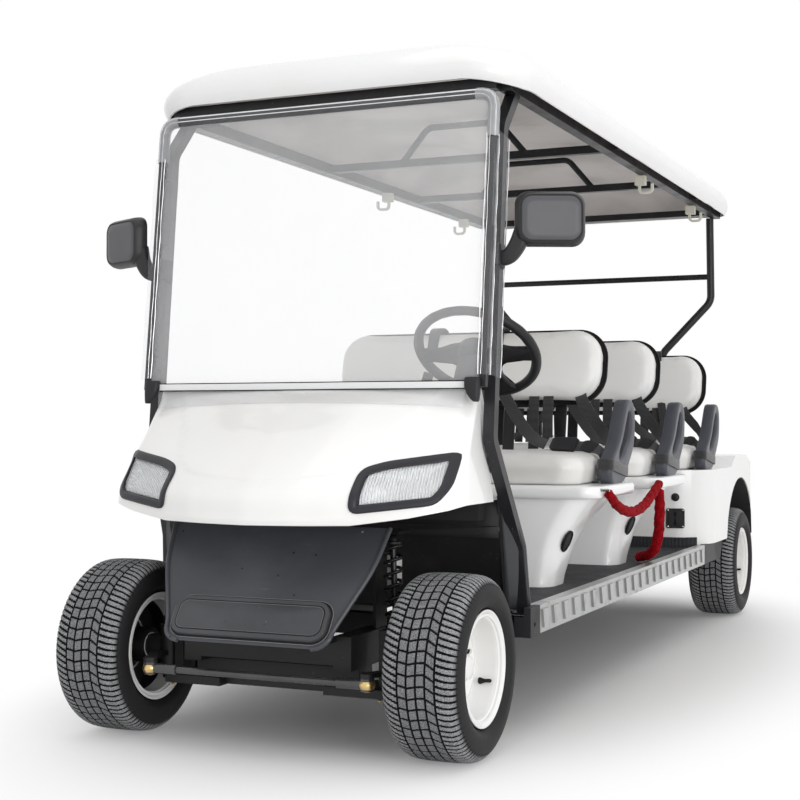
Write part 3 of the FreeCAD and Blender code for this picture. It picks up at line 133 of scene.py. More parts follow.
def unit(vectors):
    return vectors / np.maximum(np.linalg.norm(vectors, axis=-1, keepdims=True), 1e-9)


def crossways(path, up, closed=False):
    """Two unit directions square to a path at each of its points: across it, and its lift, which stays
    as near to the up direction as that allows."""
    run = unit(np.roll(path, -1, 0) - np.roll(path, 1, 0) if closed else np.gradient(path, axis=0))
    across = unit(np.cross(run, np.broadcast_to(np.asarray(up, float), run.shape)))
    return across, np.cross(across, run)


def carry(path, profile, up=(0, 0, 1), closed=False, lids=(0, -1), scale=1.0):
    """Carries a closed profile of (across, lift) pairs along a path, square to it. scale is one number
    or one for each point."""
    path, profile = np.asarray(path, float), np.asarray(profile, float)
    across, lift = crossways(path, up, closed)
    size = np.broadcast_to(np.asarray(scale, float), (len(path),))[:, None, None]
    points = path[:, None] + size * (across[:, None] * profile[:, :1] + lift[:, None] * profile[:, 1:])
    return skin(points, wrap_rows=closed, wrap_columns=True, lids=() if closed else lids)


def ring(radius, count=12):
    """A circle of (across, lift) pairs."""
    a = np.linspace(0, TURN, count, endpoint=False)
    return radius * np.stack([np.cos(a), np.sin(a)], 1)


def rounded(width, height, radius, corner=6):
    """A rectangle of (across, lift) pairs about the origin, its corners quarter circles."""
    a = np.linspace(0, TURN / 4, corner)
    quarter = np.stack([np.cos(a), np.sin(a)], 1) * radius
    turns = [np.array([[c, s], [-s, c]]) for c, s in ((1, 0), (0, 1), (-1, 0), (0, -1))]
    middles = [(1, 1), (-1, 1), (-1, -1), (1, -1)]
    inner = np.array([width / 2 - radius, height / 2 - radius])
    return np.concatenate([quarter @ turn + inner * m for turn, m in zip(turns, middles)])


def level_outline(z, middle, width, depth, radius, corner):
    """A level rounded rectangle about a middle (x, y), at a height."""
    flat = rounded(width, depth, radius, corner)
    return np.column_stack([flat + middle, np.full(len(flat), z)])


def toward(outline, middle, shares):
    """Copies of an outline, each drawn toward a point by a share of the way."""
    return [outline + (middle - outline) * share for share in shares]


def on_slope(foot, lean, x, behind, up):
    """Points given across a plane, behind it and up along it. It rises from its foot (y, z) and leans
    rearward."""
    c, s = math.cos(lean), math.sin(lean)
    x, behind, up = np.broadcast_arrays(x, behind, up)
    return np.stack([x, foot[0] + behind * c + up * s, foot[1] - behind * s + up * c], -1)


def turned(profile, centre, axis="x", count=48):
    """Turns an open profile of (along the axis, radius) pairs once about the axis through the centre."""
    profile = np.asarray(profile, float)
    a = np.linspace(0, TURN, count, endpoint=False)[:, None]
    along, r = profile[None, :, 0], profile[None, :, 1]
    spread = (r * np.cos(a), r * np.sin(a), along + 0 * a)
    order = {"x": (2, 0, 1), "y": (1, 2, 0), "z": (0, 1, 2)}[axis]
    return skin(np.stack([spread[k] for k in order], -1) + np.asarray(centre, float), wrap_rows=True)


def mirrored(part):
    points, faces = part
    return points * (-1, 1, 1), [face[::-1] for face in faces]


def both(part):
    """A part and its mirror image."""
    return join([part, mirrored(part)])


def tilted(part, angle, centre, axis="x"):
    """Turns a part about an axis through a point, by an angle in degrees."""
    points, faces = part
    c, s = math.cos(math.radians(angle)), math.sin(math.radians(angle))
    turn = {"x": [[1, 0, 0], [0, c, s], [0, -s, c]], "y": [[c, 0, -s], [0, 1, 0], [s, 0, c]],
            "z": [[c, s, 0], [-s, c, 0], [0, 0, 1]]}[axis]
    return (points - centre) @ np.array(turn) + centre, faces


def shifted(part, step):
    points, faces = part
    return points + np.asarray(step, float), faces


def added(mesh, finish, crease):
    """Puts a mesh in the scene with its finish, smooth but for the edges that turn by more than the
    crease."""
    mesh.shade_smooth()
    mesh.set_sharp_from_angle(angle=math.radians(crease))
    mesh.materials.append(finish.material)
    obj = bpy.data.objects.new(mesh.name, mesh)
    bpy.context.scene.collection.objects.link(obj)
    return obj


def piece(name, part, finish, body="chassis", replaces=(), crease=35, wall=0.0, outward=True):
    """Makes an object of a part, gives it a finish and rides it on a body. wall thickens an open sheet, in
    millimetres, to its inner side."""
    points, faces = part
    mesh = bpy.data.meshes.new(name)
    mesh.from_pydata(placed(points).tolist(), [], faces)
    shape = bmesh.new()
    shape.from_mesh(mesh)
    bmesh.ops.remove_doubles(shape, verts=shape.verts, dist=1e-5)
    if outward:
        bmesh.ops.recalc_face_normals(shape, faces=shape.faces)
    shape.to_mesh(mesh)
    shape.free()
    obj = added(mesh, finish, crease)
    if wall:
        thick = obj.modifiers.new("wall", "SOLIDIFY")
        thick.thickness = wall * 0.001
        thick.offset = -1.0
    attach(obj, body)
    if replaces:
        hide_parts(*replaces)
    return obj


# Shader maths


class Signal:
    """A shader socket that Python's arithmetic works on: each expression adds its Math node."""

    def __init__(self, finish, socket):
        self.finish = finish
        self.socket = socket

    def math(self, operation, *values):
        return self.finish.node("ShaderNodeMath", {"operation": operation}, dict(enumerate(values)))

    def __add__(self, other):
        return self.math("ADD", self, other)

    __radd__ = __add__

    def __sub__(self, other):
        return self.math("SUBTRACT", self, other)

    def __rsub__(self, other):
        return self.math("SUBTRACT", other, self)

    def __mul__(self, other):
        return self.math("MULTIPLY", self, other)

    __rmul__ = __mul__

    def __truediv__(self, other):
        return self.math("DIVIDE", self, other)

    def __pow__(self, other):
        return self.math("POWER", self, other)

    def wave(self):
        return self.math("SINE", self)

    def size(self):
        return self.math("ABSOLUTE", self)

    def most(self, other):
        return self.math("MAXIMUM", self, other)

    def step(self, low, high):
        """0 below low, 1 above high and an even S between them."""
        values = {"Value": self, "From Min": low, "From Max": high}
        return self.finish.node("ShaderNodeMapRange", {"interpolation_type": "SMOOTHSTEP"}, values)


class Finish:
    """A procedural material on a piece's own coordinates, in metres, that ends in one Principled shader."""

    def __init__(self, name, base, roughness, **constants):
        self.material = bpy.data.materials.new(name)
        self.material.use_nodes = True
        self.tree = self.material.node_tree
        self.shader = self.tree.nodes["Principled BSDF"]
        self.shader.inputs["Base Color"].default_value = (*base, 1.0)
        self.shader.inputs["Roughness"].default_value = roughness
        for socket, value in constants.items():
            self.shader.inputs[socket.replace("_", " ")].default_value = value
        self.at = self.node("ShaderNodeTexCoord", output="Object")

    def node(self, kind, settings=None, inputs=None, output=0):
        """Adds a node: its settings first, then its sockets from values or signals. Returns one output."""
        made = self.tree.nodes.new(kind)
        for key, value in (settings or {}).items():
            setattr(made, key, value)
        for key, value in (inputs or {}).items():
            if isinstance(value, Signal):
                self.tree.links.new(value.socket, made.inputs[key])
            else:
                made.inputs[key].default_value = value
        return Signal(self, made.outputs[output])

    def noise(self, scale, detail=3.0, roughness=0.5, at=None, distortion=0.0):
        values = {"Vector": at or self.at, "Scale": scale, "Detail": detail, "Roughness": roughness,
                  "Distortion": distortion}
        return self.node("ShaderNodeTexNoise", None, values)

    def cells(self, scale, at=None):
        return self.node("ShaderNodeTexVoronoi", None, {"Vector": at or self.at, "Scale": scale})

    def stretched(self, scale, turn=(0, 0, 0)):
        return self.node("ShaderNodeMapping", None, {"Vector": self.at, "Scale": scale, "Rotation": turn})

    def axes(self):
        split = self.node("ShaderNodeSeparateXYZ", None, {0: self.at})
        return [Signal(self, split.socket.node.outputs[k]) for k in range(3)]

    def attribute(self, name):
        return self.node("ShaderNodeAttribute", {"attribute_name": name}, output="Fac")

    def mix(self, factor, one, other):
        """The first colour at 0, the second at 1."""
        one, other = (c if isinstance(c, Signal) else (*c, 1.0) for c in (one, other))
        return self.node("ShaderNodeMix", {"data_type": "RGBA"}, {0: factor, 6: one, 7: other}, 2)

    def set(self, socket, signal):
        self.tree.links.new(signal.socket, self.shader.inputs[socket])
        return self

    def bump(self, height, depth, strength=1.0):
        """Raises the surface by the height signal times a depth in metres."""
        values = {"Height": height, "Distance": depth, "Strength": strength}
        return self.set("Normal", self.node("ShaderNodeBump", None, values))


# Finishes


def toned(colour, factor, lift=0.0):
    """A colour times a factor, or times one for each channel, plus a lift."""
    return tuple(np.multiply(colour, factor) + lift)


def gloss_paint(name, base, grime=0.05):
    """Sprayed gloss: a clear coat over an even colour, a slight ripple, and a faint warm cast in soft
    patches."""
    paint = Finish(name, base, 0.32, Coat_Weight=0.8, Coat_Roughness=0.06)
    patches = paint.noise(2.2, 3.0).step(0.35, 0.75)
    dull = toned(base, (1 - grime * 0.8, 1 - grime, 1 - grime * 1.5))
    paint.set("Base Color", paint.mix(patches, base, dull))
    paint.set("Roughness", 0.28 + paint.noise(9.0, 4.0) * 0.12)
    return paint.bump(paint.noise(55.0, 2.0), 0.0004, 0.25)


def moulded_black(name, base, grain=900.0, roughness=0.5, depth=0.0002, scuffs=0.3):
    """Moulded plastic: a fine pebble grain, faint cloudy wear and pale scuffs where it has been rubbed."""
    plastic = Finish(name, base, roughness, Specular_IOR_Level=0.3)
    cloud = plastic.noise(7.0, 4.0).step(0.4, 0.75)
    worn = np.minimum(1.0, toned(base, 2.2, 0.012))
    rubbed = plastic.noise(60.0, 5.0, 0.75).step(0.62, 0.74) * cloud * scuffs
    plastic.set("Base Color", plastic.mix(rubbed, base, tuple(worn + 0.1)))
    plastic.set("Roughness", roughness + cloud * 0.12 + plastic.noise(30.0) * 0.06 - 0.03)
    return plastic.bump(plastic.cells(grain), depth, 0.35)


def coated_steel(name, base, roughness=0.38, **sockets):
    """Powder coat on steel tube: orange-peel ripple, dust that dulls it in patches and a few bright
    nicks."""
    steel = Finish(name, base, roughness, Specular_IOR_Level=0.35, **sockets)
    dust = steel.noise(11.0, 5.0, 0.6).step(0.45, 0.8)
    nicks = steel.noise(240.0, 2.0).step(0.73, 0.76)
    dusty = steel.mix(dust * 0.5, base, toned(base, 1.8, 0.01))
    steel.set("Base Color", steel.mix(nicks * 0.5, dusty, (0.35, 0.34, 0.33)))
    steel.set("Roughness", roughness + dust * 0.2)
    return steel.bump(steel.noise(420.0, 2.0), 0.00015, 0.4)


def bright_metal(name, base, roughness=0.25, stretch=(1, 1, 1), wear=0.15):
    """Bare or plated metal: fine drawn lines one way and duller stains."""
    metal = Finish(name, base, roughness, Metallic=1.0)
    lines = metal.noise(300.0, 3.0, at=metal.stretched(stretch))
    stain = metal.noise(25.0, 4.0).step(0.5, 0.8)
    metal.set("Base Color", metal.mix(stain * wear, base, toned(base, 0.45)))
    metal.set("Roughness", roughness + lines * 0.15 + stain * 0.15)
    return metal.bump(lines, 0.0001, 0.3)


def vinyl(name, base):
    """Pearl seat vinyl: a fine pebbled hide, wide soft creases and a satin film."""
    hide = Finish(name, base, 0.36, Coat_Weight=0.25, Coat_Roughness=0.25, Sheen_Weight=0.15)
    pebbles = hide.cells(650.0)
    creases = hide.noise(8.0, 3.0, distortion=1.2)
    shade = hide.noise(3.0, 3.0).step(0.3, 0.8)
    hide.set("Base Color", hide.mix(shade, base, toned(base, (0.93, 0.925, 0.9))))
    hide.set("Roughness", 0.33 + hide.noise(40.0) * 0.12)
    return hide.bump(pebbles * 0.25 + creases * 6.0, 0.0007, 0.35)


def webbing(name, base):
    """Woven belt: ribs across it and a herringbone of fine threads, a little fuzzy."""
    belt = Finish(name, base, 0.75, Sheen_Weight=0.4)
    x, y, z = belt.axes()
    ribs = ((x + y * 0.7 + z) * 1800.0).wave()
    threads = ((x - y * 0.7 + z) * 1800.0).wave()
    belt.set("Base Color", belt.mix(ribs * threads * 0.5 + 0.5, base, toned(base, 1.7, 0.006)))
    belt.set("Roughness", 0.7 + belt.noise(90.0) * 0.15)
    return belt.bump(ribs.most(threads), 0.0004, 0.6)


def velvet(name, base):
    """Rope velvet: a deep pile, its colour laid with painted shade in the gathers and a painted sheen at
    its edges.
    """
    pile = Finish(name, base, 0.85, Sheen_Weight=0.12, Sheen_Roughness=0.35, Specular_IOR_Level=0.1,
                  Sheen_Tint=(1.0, 0.12, 0.15, 1.0))
    tufts = pile.noise(420.0, 4.0, 0.7)
    folds = pile.noise(45.0, 3.0, distortion=2.0)
    painted_sheen_and_shade = (tufts * 0.5 + folds * 0.7).step(0.4, 0.85)
    # painted shade and sheen: noise runs the colour from a dark copy of the red to a light copy
    pile.set("Base Color", pile.mix(painted_sheen_and_shade, toned(base, 0.35), toned(base, 1.3)))
    pile.set("Roughness", 0.8 + tufts * 0.15)
    return pile.bump(tufts * 0.3 + folds * 0.5, 0.0012, 0.5)


def clear_sheet(name, tint, alpha, roughness=0.06, ripple=0.0):
    """A see-through sheet: mostly open, with a little of its own tint, scuffed in fine specks."""
    sheet = Finish(name, tint, roughness)
    specks = sheet.noise(210.0, 2.0).step(0.7, 0.74)
    haze = sheet.noise(3.5, 3.0).step(0.2, 0.9)
    sheet.set("Alpha", alpha + haze * alpha * 0.35 + specks * 0.05)
    sheet.set("Roughness", roughness + haze * 0.05)
    if ripple:
        sheet.bump(sheet.noise(28.0, 5.0, 0.65, distortion=2.5), ripple, 1.0)
    return sheet


def ribbed_rubber(name, base, pitch):
    """Moulded floor rubber: rounded ribs along the cart, dulled by dust in their hollows."""
    rubber = Finish(name, base, 0.62, Specular_IOR_Level=0.12)
    drift = rubber.noise(1.3, 3.0) * 0.012
    ribs = ((rubber.axes()[0] + drift) * (TURN / pitch)).wave() * 0.5 + 0.5
    dust = rubber.noise(14.0, 5.0, 0.65).step(0.35, 0.8)
    rubber.set("Base Color", rubber.mix(dust * 0.6 + (1 - ribs) * 0.3, base, toned(base, 1.9, 0.01)))
    rubber.set("Roughness", 0.55 + dust * 0.2)
    return rubber.bump(ribs + rubber.noise(500.0) * 0.08, 0.0015, 0.9)


def tyre_rubber():
    """Tyre: pale scrubbed tread, and grooves darkened past the rubber's own black as painted shade, read
    from the mesh's own depth; and a smooth dark sidewall."""
    rubber = Finish("tyre_rubber", (0.02, 0.02, 0.021), 0.7, Specular_IOR_Level=0.25)
    tread = rubber.attribute("tread")
    depth = rubber.attribute("painted_groove_shade")
    grit = rubber.noise(520.0, 4.0, 0.75)
    scrubbed = rubber.mix(grit.step(0.38, 0.66), (0.09, 0.094, 0.096), (0.46, 0.47, 0.48))
    surface = rubber.mix(tread, (0.013, 0.013, 0.014), scrubbed)
    # painted shade: the deeper a groove is cut, the nearer its colour goes to black
    rubber.set("Base Color", rubber.mix(depth.step(0.05, 0.5), surface, (0.0015, 0.0015, 0.0015)))
    rubber.set("Roughness", 0.55 + tread * 0.3 + rubber.noise(60.0) * 0.08)
    return rubber.bump(grit * tread + rubber.noise(80.0) * 0.1, 0.0009, 0.7)


def lamp_glass():
    """Headlamp lens: clear, with upright flutes that break up what is behind."""
    glass = Finish("lamp_glass", (0.93, 0.95, 0.96), 0.08)
    x, z = glass.axes()[::2]
    flutes = ((x + z * 0.08) * 900.0).wave()
    glass.set("Alpha", 0.4 + flutes.step(0.2, 1.0) * 0.25)
    return glass.bump(flutes + glass.noise(130.0, 3.0), 0.0012, 0.9)


def lamp_mirror():
    """Reflector: bright metallised plastic in crinkled facets, with darker streaked cells painted in as
    reflections.
    """
    bowl = Finish("lamp_reflector", (0.92, 0.93, 0.94), 0.16, Metallic=0.75)
    facets = bowl.cells(95.0, at=bowl.stretched((1.6, 1.0, 0.8)))
    dark = bowl.noise(60.0, 5.0, 0.7, at=bowl.stretched((3.0, 1.0, 0.7))).step(0.5, 0.72)
    # painted reflection: darker streaks in the metal's colour
    bowl.set("Base Color", bowl.mix(dark * 0.6, (0.95, 0.96, 0.97), (0.25, 0.26, 0.28)))
    return bowl.bump(facets + bowl.noise(200.0, 3.0), 0.004, 1.0)


def ceiling_board():
    """Roof lining: mauve-grey moulded board with broad soft dents and dust marks."""
    board = Finish("headliner_grey", (0.62, 0.585, 0.565), 0.62, Specular_IOR_Level=0.3)
    dents = board.noise(2.6, 3.0, distortion=0.6)
    marks = board.noise(5.0, 6.0, 0.7).step(0.55, 0.8)
    board.set("Base Color", board.mix(dents.step(0.35, 0.7), (0.7, 0.655, 0.635), (0.52, 0.49, 0.475)))
    board.set("Roughness", 0.55 + marks * 0.25)
    return board.bump(dents * 3.0 + board.noise(90.0, 2.0) * 0.08, 0.006, 0.7)


def chipped_panel(name, base, wear=1.0):
    """Dark front panel: satin plastic, cloudy dust, pale chips, a few dark pits and fine scratches
    across it."""
    panel = Finish(name, base, 0.4, Specular_IOR_Level=0.4)
    cloud = panel.noise(4.0, 4.0, 0.6).step(0.35, 0.75)
    spots = panel.cells(26.0, at=panel.stretched((1.0, 1.0, 1.0)))
    size = panel.noise(9.0, 2.0).step(0.5, 0.75)
    chips = (1 - spots.step(0.05, 0.085)) * size * wear
    specks = panel.cells(21.0, at=panel.stretched((1.0, 1.0, 1.0), (0.4, 0.7, 1.1)))
    pits = (1 - specks.step(0.05, 0.08)) * wear
    streaks = panel.noise(40.0, 3.0, 0.6, at=panel.stretched((0.25, 1.0, 3.0), (0, 0.35, 0)))
    scratches = streaks.step(0.7, 0.74) * cloud
    colour = panel.mix(cloud, base, toned(base, 1.35, 0.006))
    colour = panel.mix(scratches * 0.35 * wear, colour, (0.3, 0.3, 0.31))
    colour = panel.mix(pits, colour, (0.004, 0.004, 0.005))
    panel.set("Base Color", panel.mix(chips, colour, (0.6, 0.6, 0.58)))
    panel.set("Roughness", 0.36 + cloud * 0.14 + scratches * 0.1)
    return panel.bump(panel.cells(1200.0) * 0.4 - chips - pits, 0.0003, 0.5)


body_white = gloss_paint("body_white", (0.865, 0.864, 0.858))
pod_white = gloss_paint("pod_white", (0.88, 0.882, 0.885), 0.03)
# painted shade: the roof's white is a darker copy of the body's white paint, toned down against the lamps
roof_white_painted_shade = gloss_paint("roof_white_painted_shade", (0.8, 0.803, 0.806), 0.03)
rim_white = gloss_paint("rim_white", (0.82, 0.82, 0.815), 0.04)
headliner = ceiling_board()
frame_black = coated_steel("frame_black", (0.012, 0.012, 0.013))
post_black = coated_steel("post_black", (0.014, 0.014, 0.016), 0.32)
under_black = coated_steel("under_black", (0.01, 0.01, 0.01), 0.45)
panel_black = chipped_panel("panel_black", (0.05, 0.053, 0.06))
pad_grey = chipped_panel("pad_grey", (0.046, 0.048, 0.053), 0.3)
# painted shade: near-black for the front pad's grooves
groove_painted_shade = moulded_black("groove_painted_shade", (0.006, 0.006, 0.007), 900.0, 0.5)
edge_worn = moulded_black("edge_worn", (0.2, 0.2, 0.21), 700.0, 0.5, 0.0003, 0.8)
cover_grey = moulded_black("cover_grey", (0.052, 0.054, 0.058), 1100.0, 0.42, 0.0001, 0.15)
trim_black = moulded_black("trim_black", (0.018, 0.018, 0.02), 800.0, 0.45)
bezel_black = moulded_black("bezel_black", (0.022, 0.022, 0.027), 1400.0, 0.38, 0.0001, 0.1)
dash_black = moulded_black("dash_black", (0.02, 0.02, 0.02), 500.0, 0.6)
grip_black = moulded_black("grip_black", (0.016, 0.016, 0.017), 1000.0, 0.42)
armrest_black = moulded_black("armrest_black", (0.06, 0.064, 0.077), 1000.0, 0.34, 0.0002, 0.15)
mirror_black = moulded_black("mirror_black", (0.026, 0.026, 0.028), 900.0, 0.36)
mirror_cover = moulded_black("mirror_cover", (0.088, 0.089, 0.096), 900.0, 0.3, 0.00015, 0.1)
seal_rubber = moulded_black("seal_rubber", (0.008, 0.008, 0.008), 700.0, 0.65)
mat_rubber = ribbed_rubber("mat_rubber", (0.026, 0.027, 0.03), 0.014)
sill_metal = bright_metal("sill_aluminium", (0.47, 0.48, 0.47), 0.24, (1, 0.06, 1), 0.3)
hook_steel = bright_metal("hook_steel", (0.7, 0.7, 0.69), 0.18)
buckle_steel = bright_metal("buckle_steel", (0.72, 0.72, 0.72), 0.22)
brass = bright_metal("brass", (0.75, 0.55, 0.25), 0.28)
rod_black = coated_steel("rod_black", (0.03, 0.03, 0.032), 0.16, Coat_Weight=0.9, Coat_Roughness=0.1)
spring_black = coated_steel("spring_black", (0.008, 0.008, 0.009), 0.3)
mirror_plate = bright_metal("mirror_plate", (0.5, 0.51, 0.54), 0.14, (1, 1, 1), 0.1)
pearl = vinyl("pearl_vinyl", (0.8, 0.797, 0.785))
belt_cloth = webbing("belt_webbing", (0.012, 0.012, 0.013))
red_velvet = velvet("red_velvet", (0.29, 0.002, 0.007))
screen_clear = clear_sheet("screen_clear", (0.93, 0.94, 0.95), 0.16, 0.05)
film_clear = clear_sheet("film_clear", (0.8, 0.81, 0.84), 0.07, 0.12, 0.002)
film_cloudy = clear_sheet("film_cloudy", (0.62, 0.63, 0.65), 0.42, 0.15, 0.003)
# painted highlight: bright metal for the lines along the film's edges
film_painted_highlight = bright_metal("film_painted_highlight", (0.9, 0.9, 0.91), 0.3, (1, 1, 0.05), 0.4)
bar_silver = moulded_black("bar_silver", (0.78, 0.785, 0.79), 500.0, 0.3, 0.0001, 0.05)
flap_clear = clear_sheet("flap_clear", (0.7, 0.71, 0.72), 0.16, 0.08, 0.001)
lens_clear = lamp_glass()
reflector = lamp_mirror()
lens_red = Finish("lens_red", (0.45, 0.01, 0.01), 0.15, Coat_Weight=0.6)
lens_red.bump(lens_red.cells(300.0), 0.0006, 0.6)
clip_cream = moulded_black("clip_cream", (0.62, 0.6, 0.52), 700.0, 0.4, 0.0001, 0.05)
bottle_white = moulded_black("bottle_white", (0.66, 0.66, 0.62), 300.0, 0.45, 0.0002, 0.1)
battery_grey = moulded_black("battery_grey", (0.04, 0.04, 0.045), 600.0, 0.6)
tyre_black = tyre_rubber()

CAD_FINISHES = (
    (under_black, "frame_rails cross_members upper_rails floor_tray front_suspension rear_axle "
                  "leaf_springs knuckle_left knuckle_right"),
    (frame_black, "windscreen_frame rear_hoop roof_frame backrest_struts"),
    (trim_black, "sill_ends kick_panels arch_liners rear_bumper pedals charge_socket"),
    (dash_black, "dashboard backrest_shells steering_column"),
    (body_white, "front_cowl seat_pods rear_body"),
    (rim_white, "rim_front_left rim_front_right rim_rear_left rim_rear_right"),
    (tyre_black, "tyre_front_left tyre_front_right tyre_rear_left tyre_rear_right"),
    (pearl, "seat_cushions backrests"),
    (red_velvet, "rope_swag rope_drop"),
    (mat_rubber, "floor_mat"), (sill_metal, "sill_strips"), (bezel_black, "headlight_bezels"),
    (lens_clear, "headlight_lenses"), (lens_red, "tail_lamps"), (panel_black, "front_panel"),
    (post_black, "front_posts"), (screen_clear, "windscreen"), (roof_white_painted_shade, "roof_shell"),
    (headliner, "roof_liner"), (clip_cream, "roof_clips"), (mirror_black, "mirror_housings"),
    (mirror_plate, "mirror_glasses"), (armrest_black, "armrests"), (belt_cloth, "seat_belts"),
    (grip_black, "steering_wheel"), (spring_black, "shock_absorbers"), (battery_grey, "battery_block"),
    (hook_steel, "rope_hooks"), (rod_black, "tie_rod"),
)
for finish, nodes in CAD_FINISHES:
    for node in nodes.split():
        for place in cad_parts[node].material_slots:
            place.material = finish.material


# Wheels

TYRE_RADIUS = 229.5
GROOVES = (-47.5, -23.5, 0.0, 23.5, 47.5)
GROOVE_DEPTH = 5.0
MIDDLE_BLOCKS, MIDDLE_PITCH = 52, 27.7
SHOULDER_BLOCKS, SHOULDER_PITCH = 88, 16.4
SHOULDER_X = 48
TREAD_LOW = 196
DISC_X = 12.0
HUB_RADIUS = 46.0
HUB_LENGTH = 74.0
VALVE_ANGLE = math.radians(-25)
VALVE_RADIUS = 117
WHEELS = {"front_left": (468.0, 0.0), "front_right": (-468.0, 0.0),
          "rear_left": (514.0, 3038.0), "rear_right": (-514.0, 3038.0)}
SIDEWALL = ((0, 229.5), (30, 229.2), (55, 228.0), (72, 225.5), (83, 220.0), (91, 212.0), (97, 201.0),
            (101, 188.0), (102.4, 175.0), (101, 165.0), (96, 156.0), (89, 149.5), (83, 145.5),
            (78.5, 142.0), (77.5, 132.0))


def near(distance, half_width, soft):
    """1 within half a width of a line, falling straight to 0 over a soft edge."""
    return np.clip(1 - (np.abs(distance) - half_width) / soft, 0, 1)


def tyre_form(centre, steps=800):
    """The tyre's outline turned about its axle, less its grooves: five run round it, bowed ones cross
    the middle blocks and slanted ones cut each shoulder. Returns the part, how deep each point is and
    how much is tread."""
    edges = np.add.outer(GROOVES, (-3.1, -1.8, 1.8, 3.1)).ravel()
    half = smooth_line(SIDEWALL, 90)
    wall = half[half[:, 0] > 58][::3]
    flat = np.sort(np.concatenate([edges, [-41, -36, -31, -17, -12, -7, 7, 12, 17, 31, 36, 41]]))
    crown = np.stack([flat, np.interp(np.abs(flat), half[:60, 0], half[:60, 1])], 1)
    outline = np.concatenate([wall[::-1] * (-1, 1), crown, wall])
    x, r = outline[None, :, 0], outline[None, :, 1]
    a = np.linspace(0, TURN, steps, endpoint=False)[:, None]
    across, side = np.abs(x), np.sign(x)
    rings = np.max([near(x - g, 1.8, 1.3) for g in GROOVES], axis=0)
    bow = -0.014 * side * np.clip(across - 20, 0, 30) + 0.006 * np.clip(x, -20, 20) - 0.0001 * x ** 2
    blocks = MIDDLE_PITCH * (((a / TURN * MIDDLE_BLOCKS + bow) % 1.0) - 0.5)
    inner = near(blocks, 1.5, 1.2) * (across < SHOULDER_X)
    slant = -side * 0.02 * (across - SHOULDER_X) + 0.0002 * (across - SHOULDER_X) ** 2
    ribs = SHOULDER_PITCH * (((a / TURN * SHOULDER_BLOCKS + slant) % 1.0) - 0.5)
    outer = near(ribs, 1.6, 1.2) * (across > SHOULDER_X - 1) * np.clip((97 - across) / 5, 0, 1) * (r > 190)
    cut = np.maximum(np.maximum(rings + 0 * a, inner * 0.9), outer)
    bands = 0.28 * near(r - 196, 1.5, 1.5) * (across > 90) + 0.36 * near(r - 157, 2.5, 2.0) * (across > 90)
    radius = r - GROOVE_DEPTH * cut + bands
    points = np.stack([x + 0 * a, radius * np.cos(a), radius * np.sin(a)], -1) + np.array(centre)
    shoulder = 0.7 + 0.3 * (across > SHOULDER_X)
    tread = np.clip((94 - across) / 4, 0, 1) * (r > TREAD_LOW) * shoulder + 0 * a
    return skin(points, wrap_rows=True), cut.ravel(), tread.ravel()


def mark(obj, name, values):
    """Writes one number for each point of a mesh, which a finish reads by its name."""
    obj.data.attributes.new(name, "FLOAT", "POINT").data.foreach_set("value", values.astype(np.float32))


def tyre(corner, x, y):
    (points, faces), cut, tread = tyre_form((x, y, TYRE_RADIUS))
    mesh = bpy.data.meshes.new("tyre_tread_" + corner)
    mesh.from_pydata(placed(points).tolist(), [], [face[::-1] for face in faces])
    obj = added(mesh, tyre_black, 40)
    # how deep each point is cut, which the finish turns into painted shade in the grooves
    mark(obj, "painted_groove_shade", cut)
    mark(obj, "tread", tread)
    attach(obj, "wheel_" + corner)
    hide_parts("tyre_" + corner)


def rim_details(corner, x, y):
    """The rim's rolled lips and smooth bowl, a plain cover over its nuts, its back in black as painted
    shade, and its rubber valve."""
    sign = 1 if x > 0 else -1
    middle, body = (x, y, TYRE_RADIUS), "wheel_" + corner
    front = smooth_line([(12, 118.0), (20, 121.0), (34, 122.2), (60, 122.2), (76, 123.0), (84, 131.0),
                         (88.0, 137.0), (90.6, 139.2), (91.2, 141.2), (90.4, 143.4), (88, 143.8),
                         (85.5, 142.4)], 40)
    inner_lip = smooth_line([(-88.0, 137.0), (-90.6, 139.0), (-91.2, 141.0), (-90.4, 143.2), (-88, 143.6),
                             (-85.5, 142.4)], 20)
    cover = smooth_line([(-3, 76), (2, 74), (6, 66), (9, 48), (13, 36), (28, 32), (37, 27), (41, 16),
                         (42, 0.01)], 40)
    back = np.array([(-34, 122.0), (DISC_X - 7, 121.6), (DISC_X - 6, 118), (DISC_X + 8, 84),
                     (DISC_X - 8, 60), (DISC_X - 9, HUB_RADIUS + 1.5),
                     (DISC_X - HUB_LENGTH - 0.4, HUB_RADIUS + 1.3),
                     (DISC_X - HUB_LENGTH - 0.5, HUB_RADIUS - 12)])
    lips = [turned(line * (sign, 1), middle, count=96) for line in (front, inner_lip)]
    piece("rim_bowl_" + corner, join(lips), rim_white, body=body, outward=False)
    piece("hub_cover_" + corner, turned((cover + (DISC_X, 0)) * (sign, 1), middle, count=64), rim_white,
          body=body)
    # painted shade: the white rim's disc and inner barrel are given a black finish
    piece("rim_painted_shade_back_" + corner, turned(back * (sign, 1), middle, count=64), under_black, body=body)
    c, s = math.cos(VALVE_ANGLE), math.sin(VALVE_ANGLE)
    foot = np.array([x + sign * 34, y + VALVE_RADIUS * c, TYRE_RADIUS + VALVE_RADIUS * s])
    stem = carry(np.linspace(foot, foot + (sign * 33, -7 * c, -7 * s), 9), ring(1.0, 12), up=(0, 1, 0),
                 scale=[8.5, 8.2, 6.4, 5.4, 4.8, 4.4, 4.9, 4.9, 3.8])
    piece("tyre_valve_" + corner, stem, seal_rubber, body=body)


for corner, (wheel_x, wheel_y) in WHEELS.items():
    tyre(corner, wheel_x, wheel_y)
    rim_details(corner, wheel_x, wheel_y)


# Roof: a pan of level rounded outlines, its rise and draw-in smoothed from the source's own levels

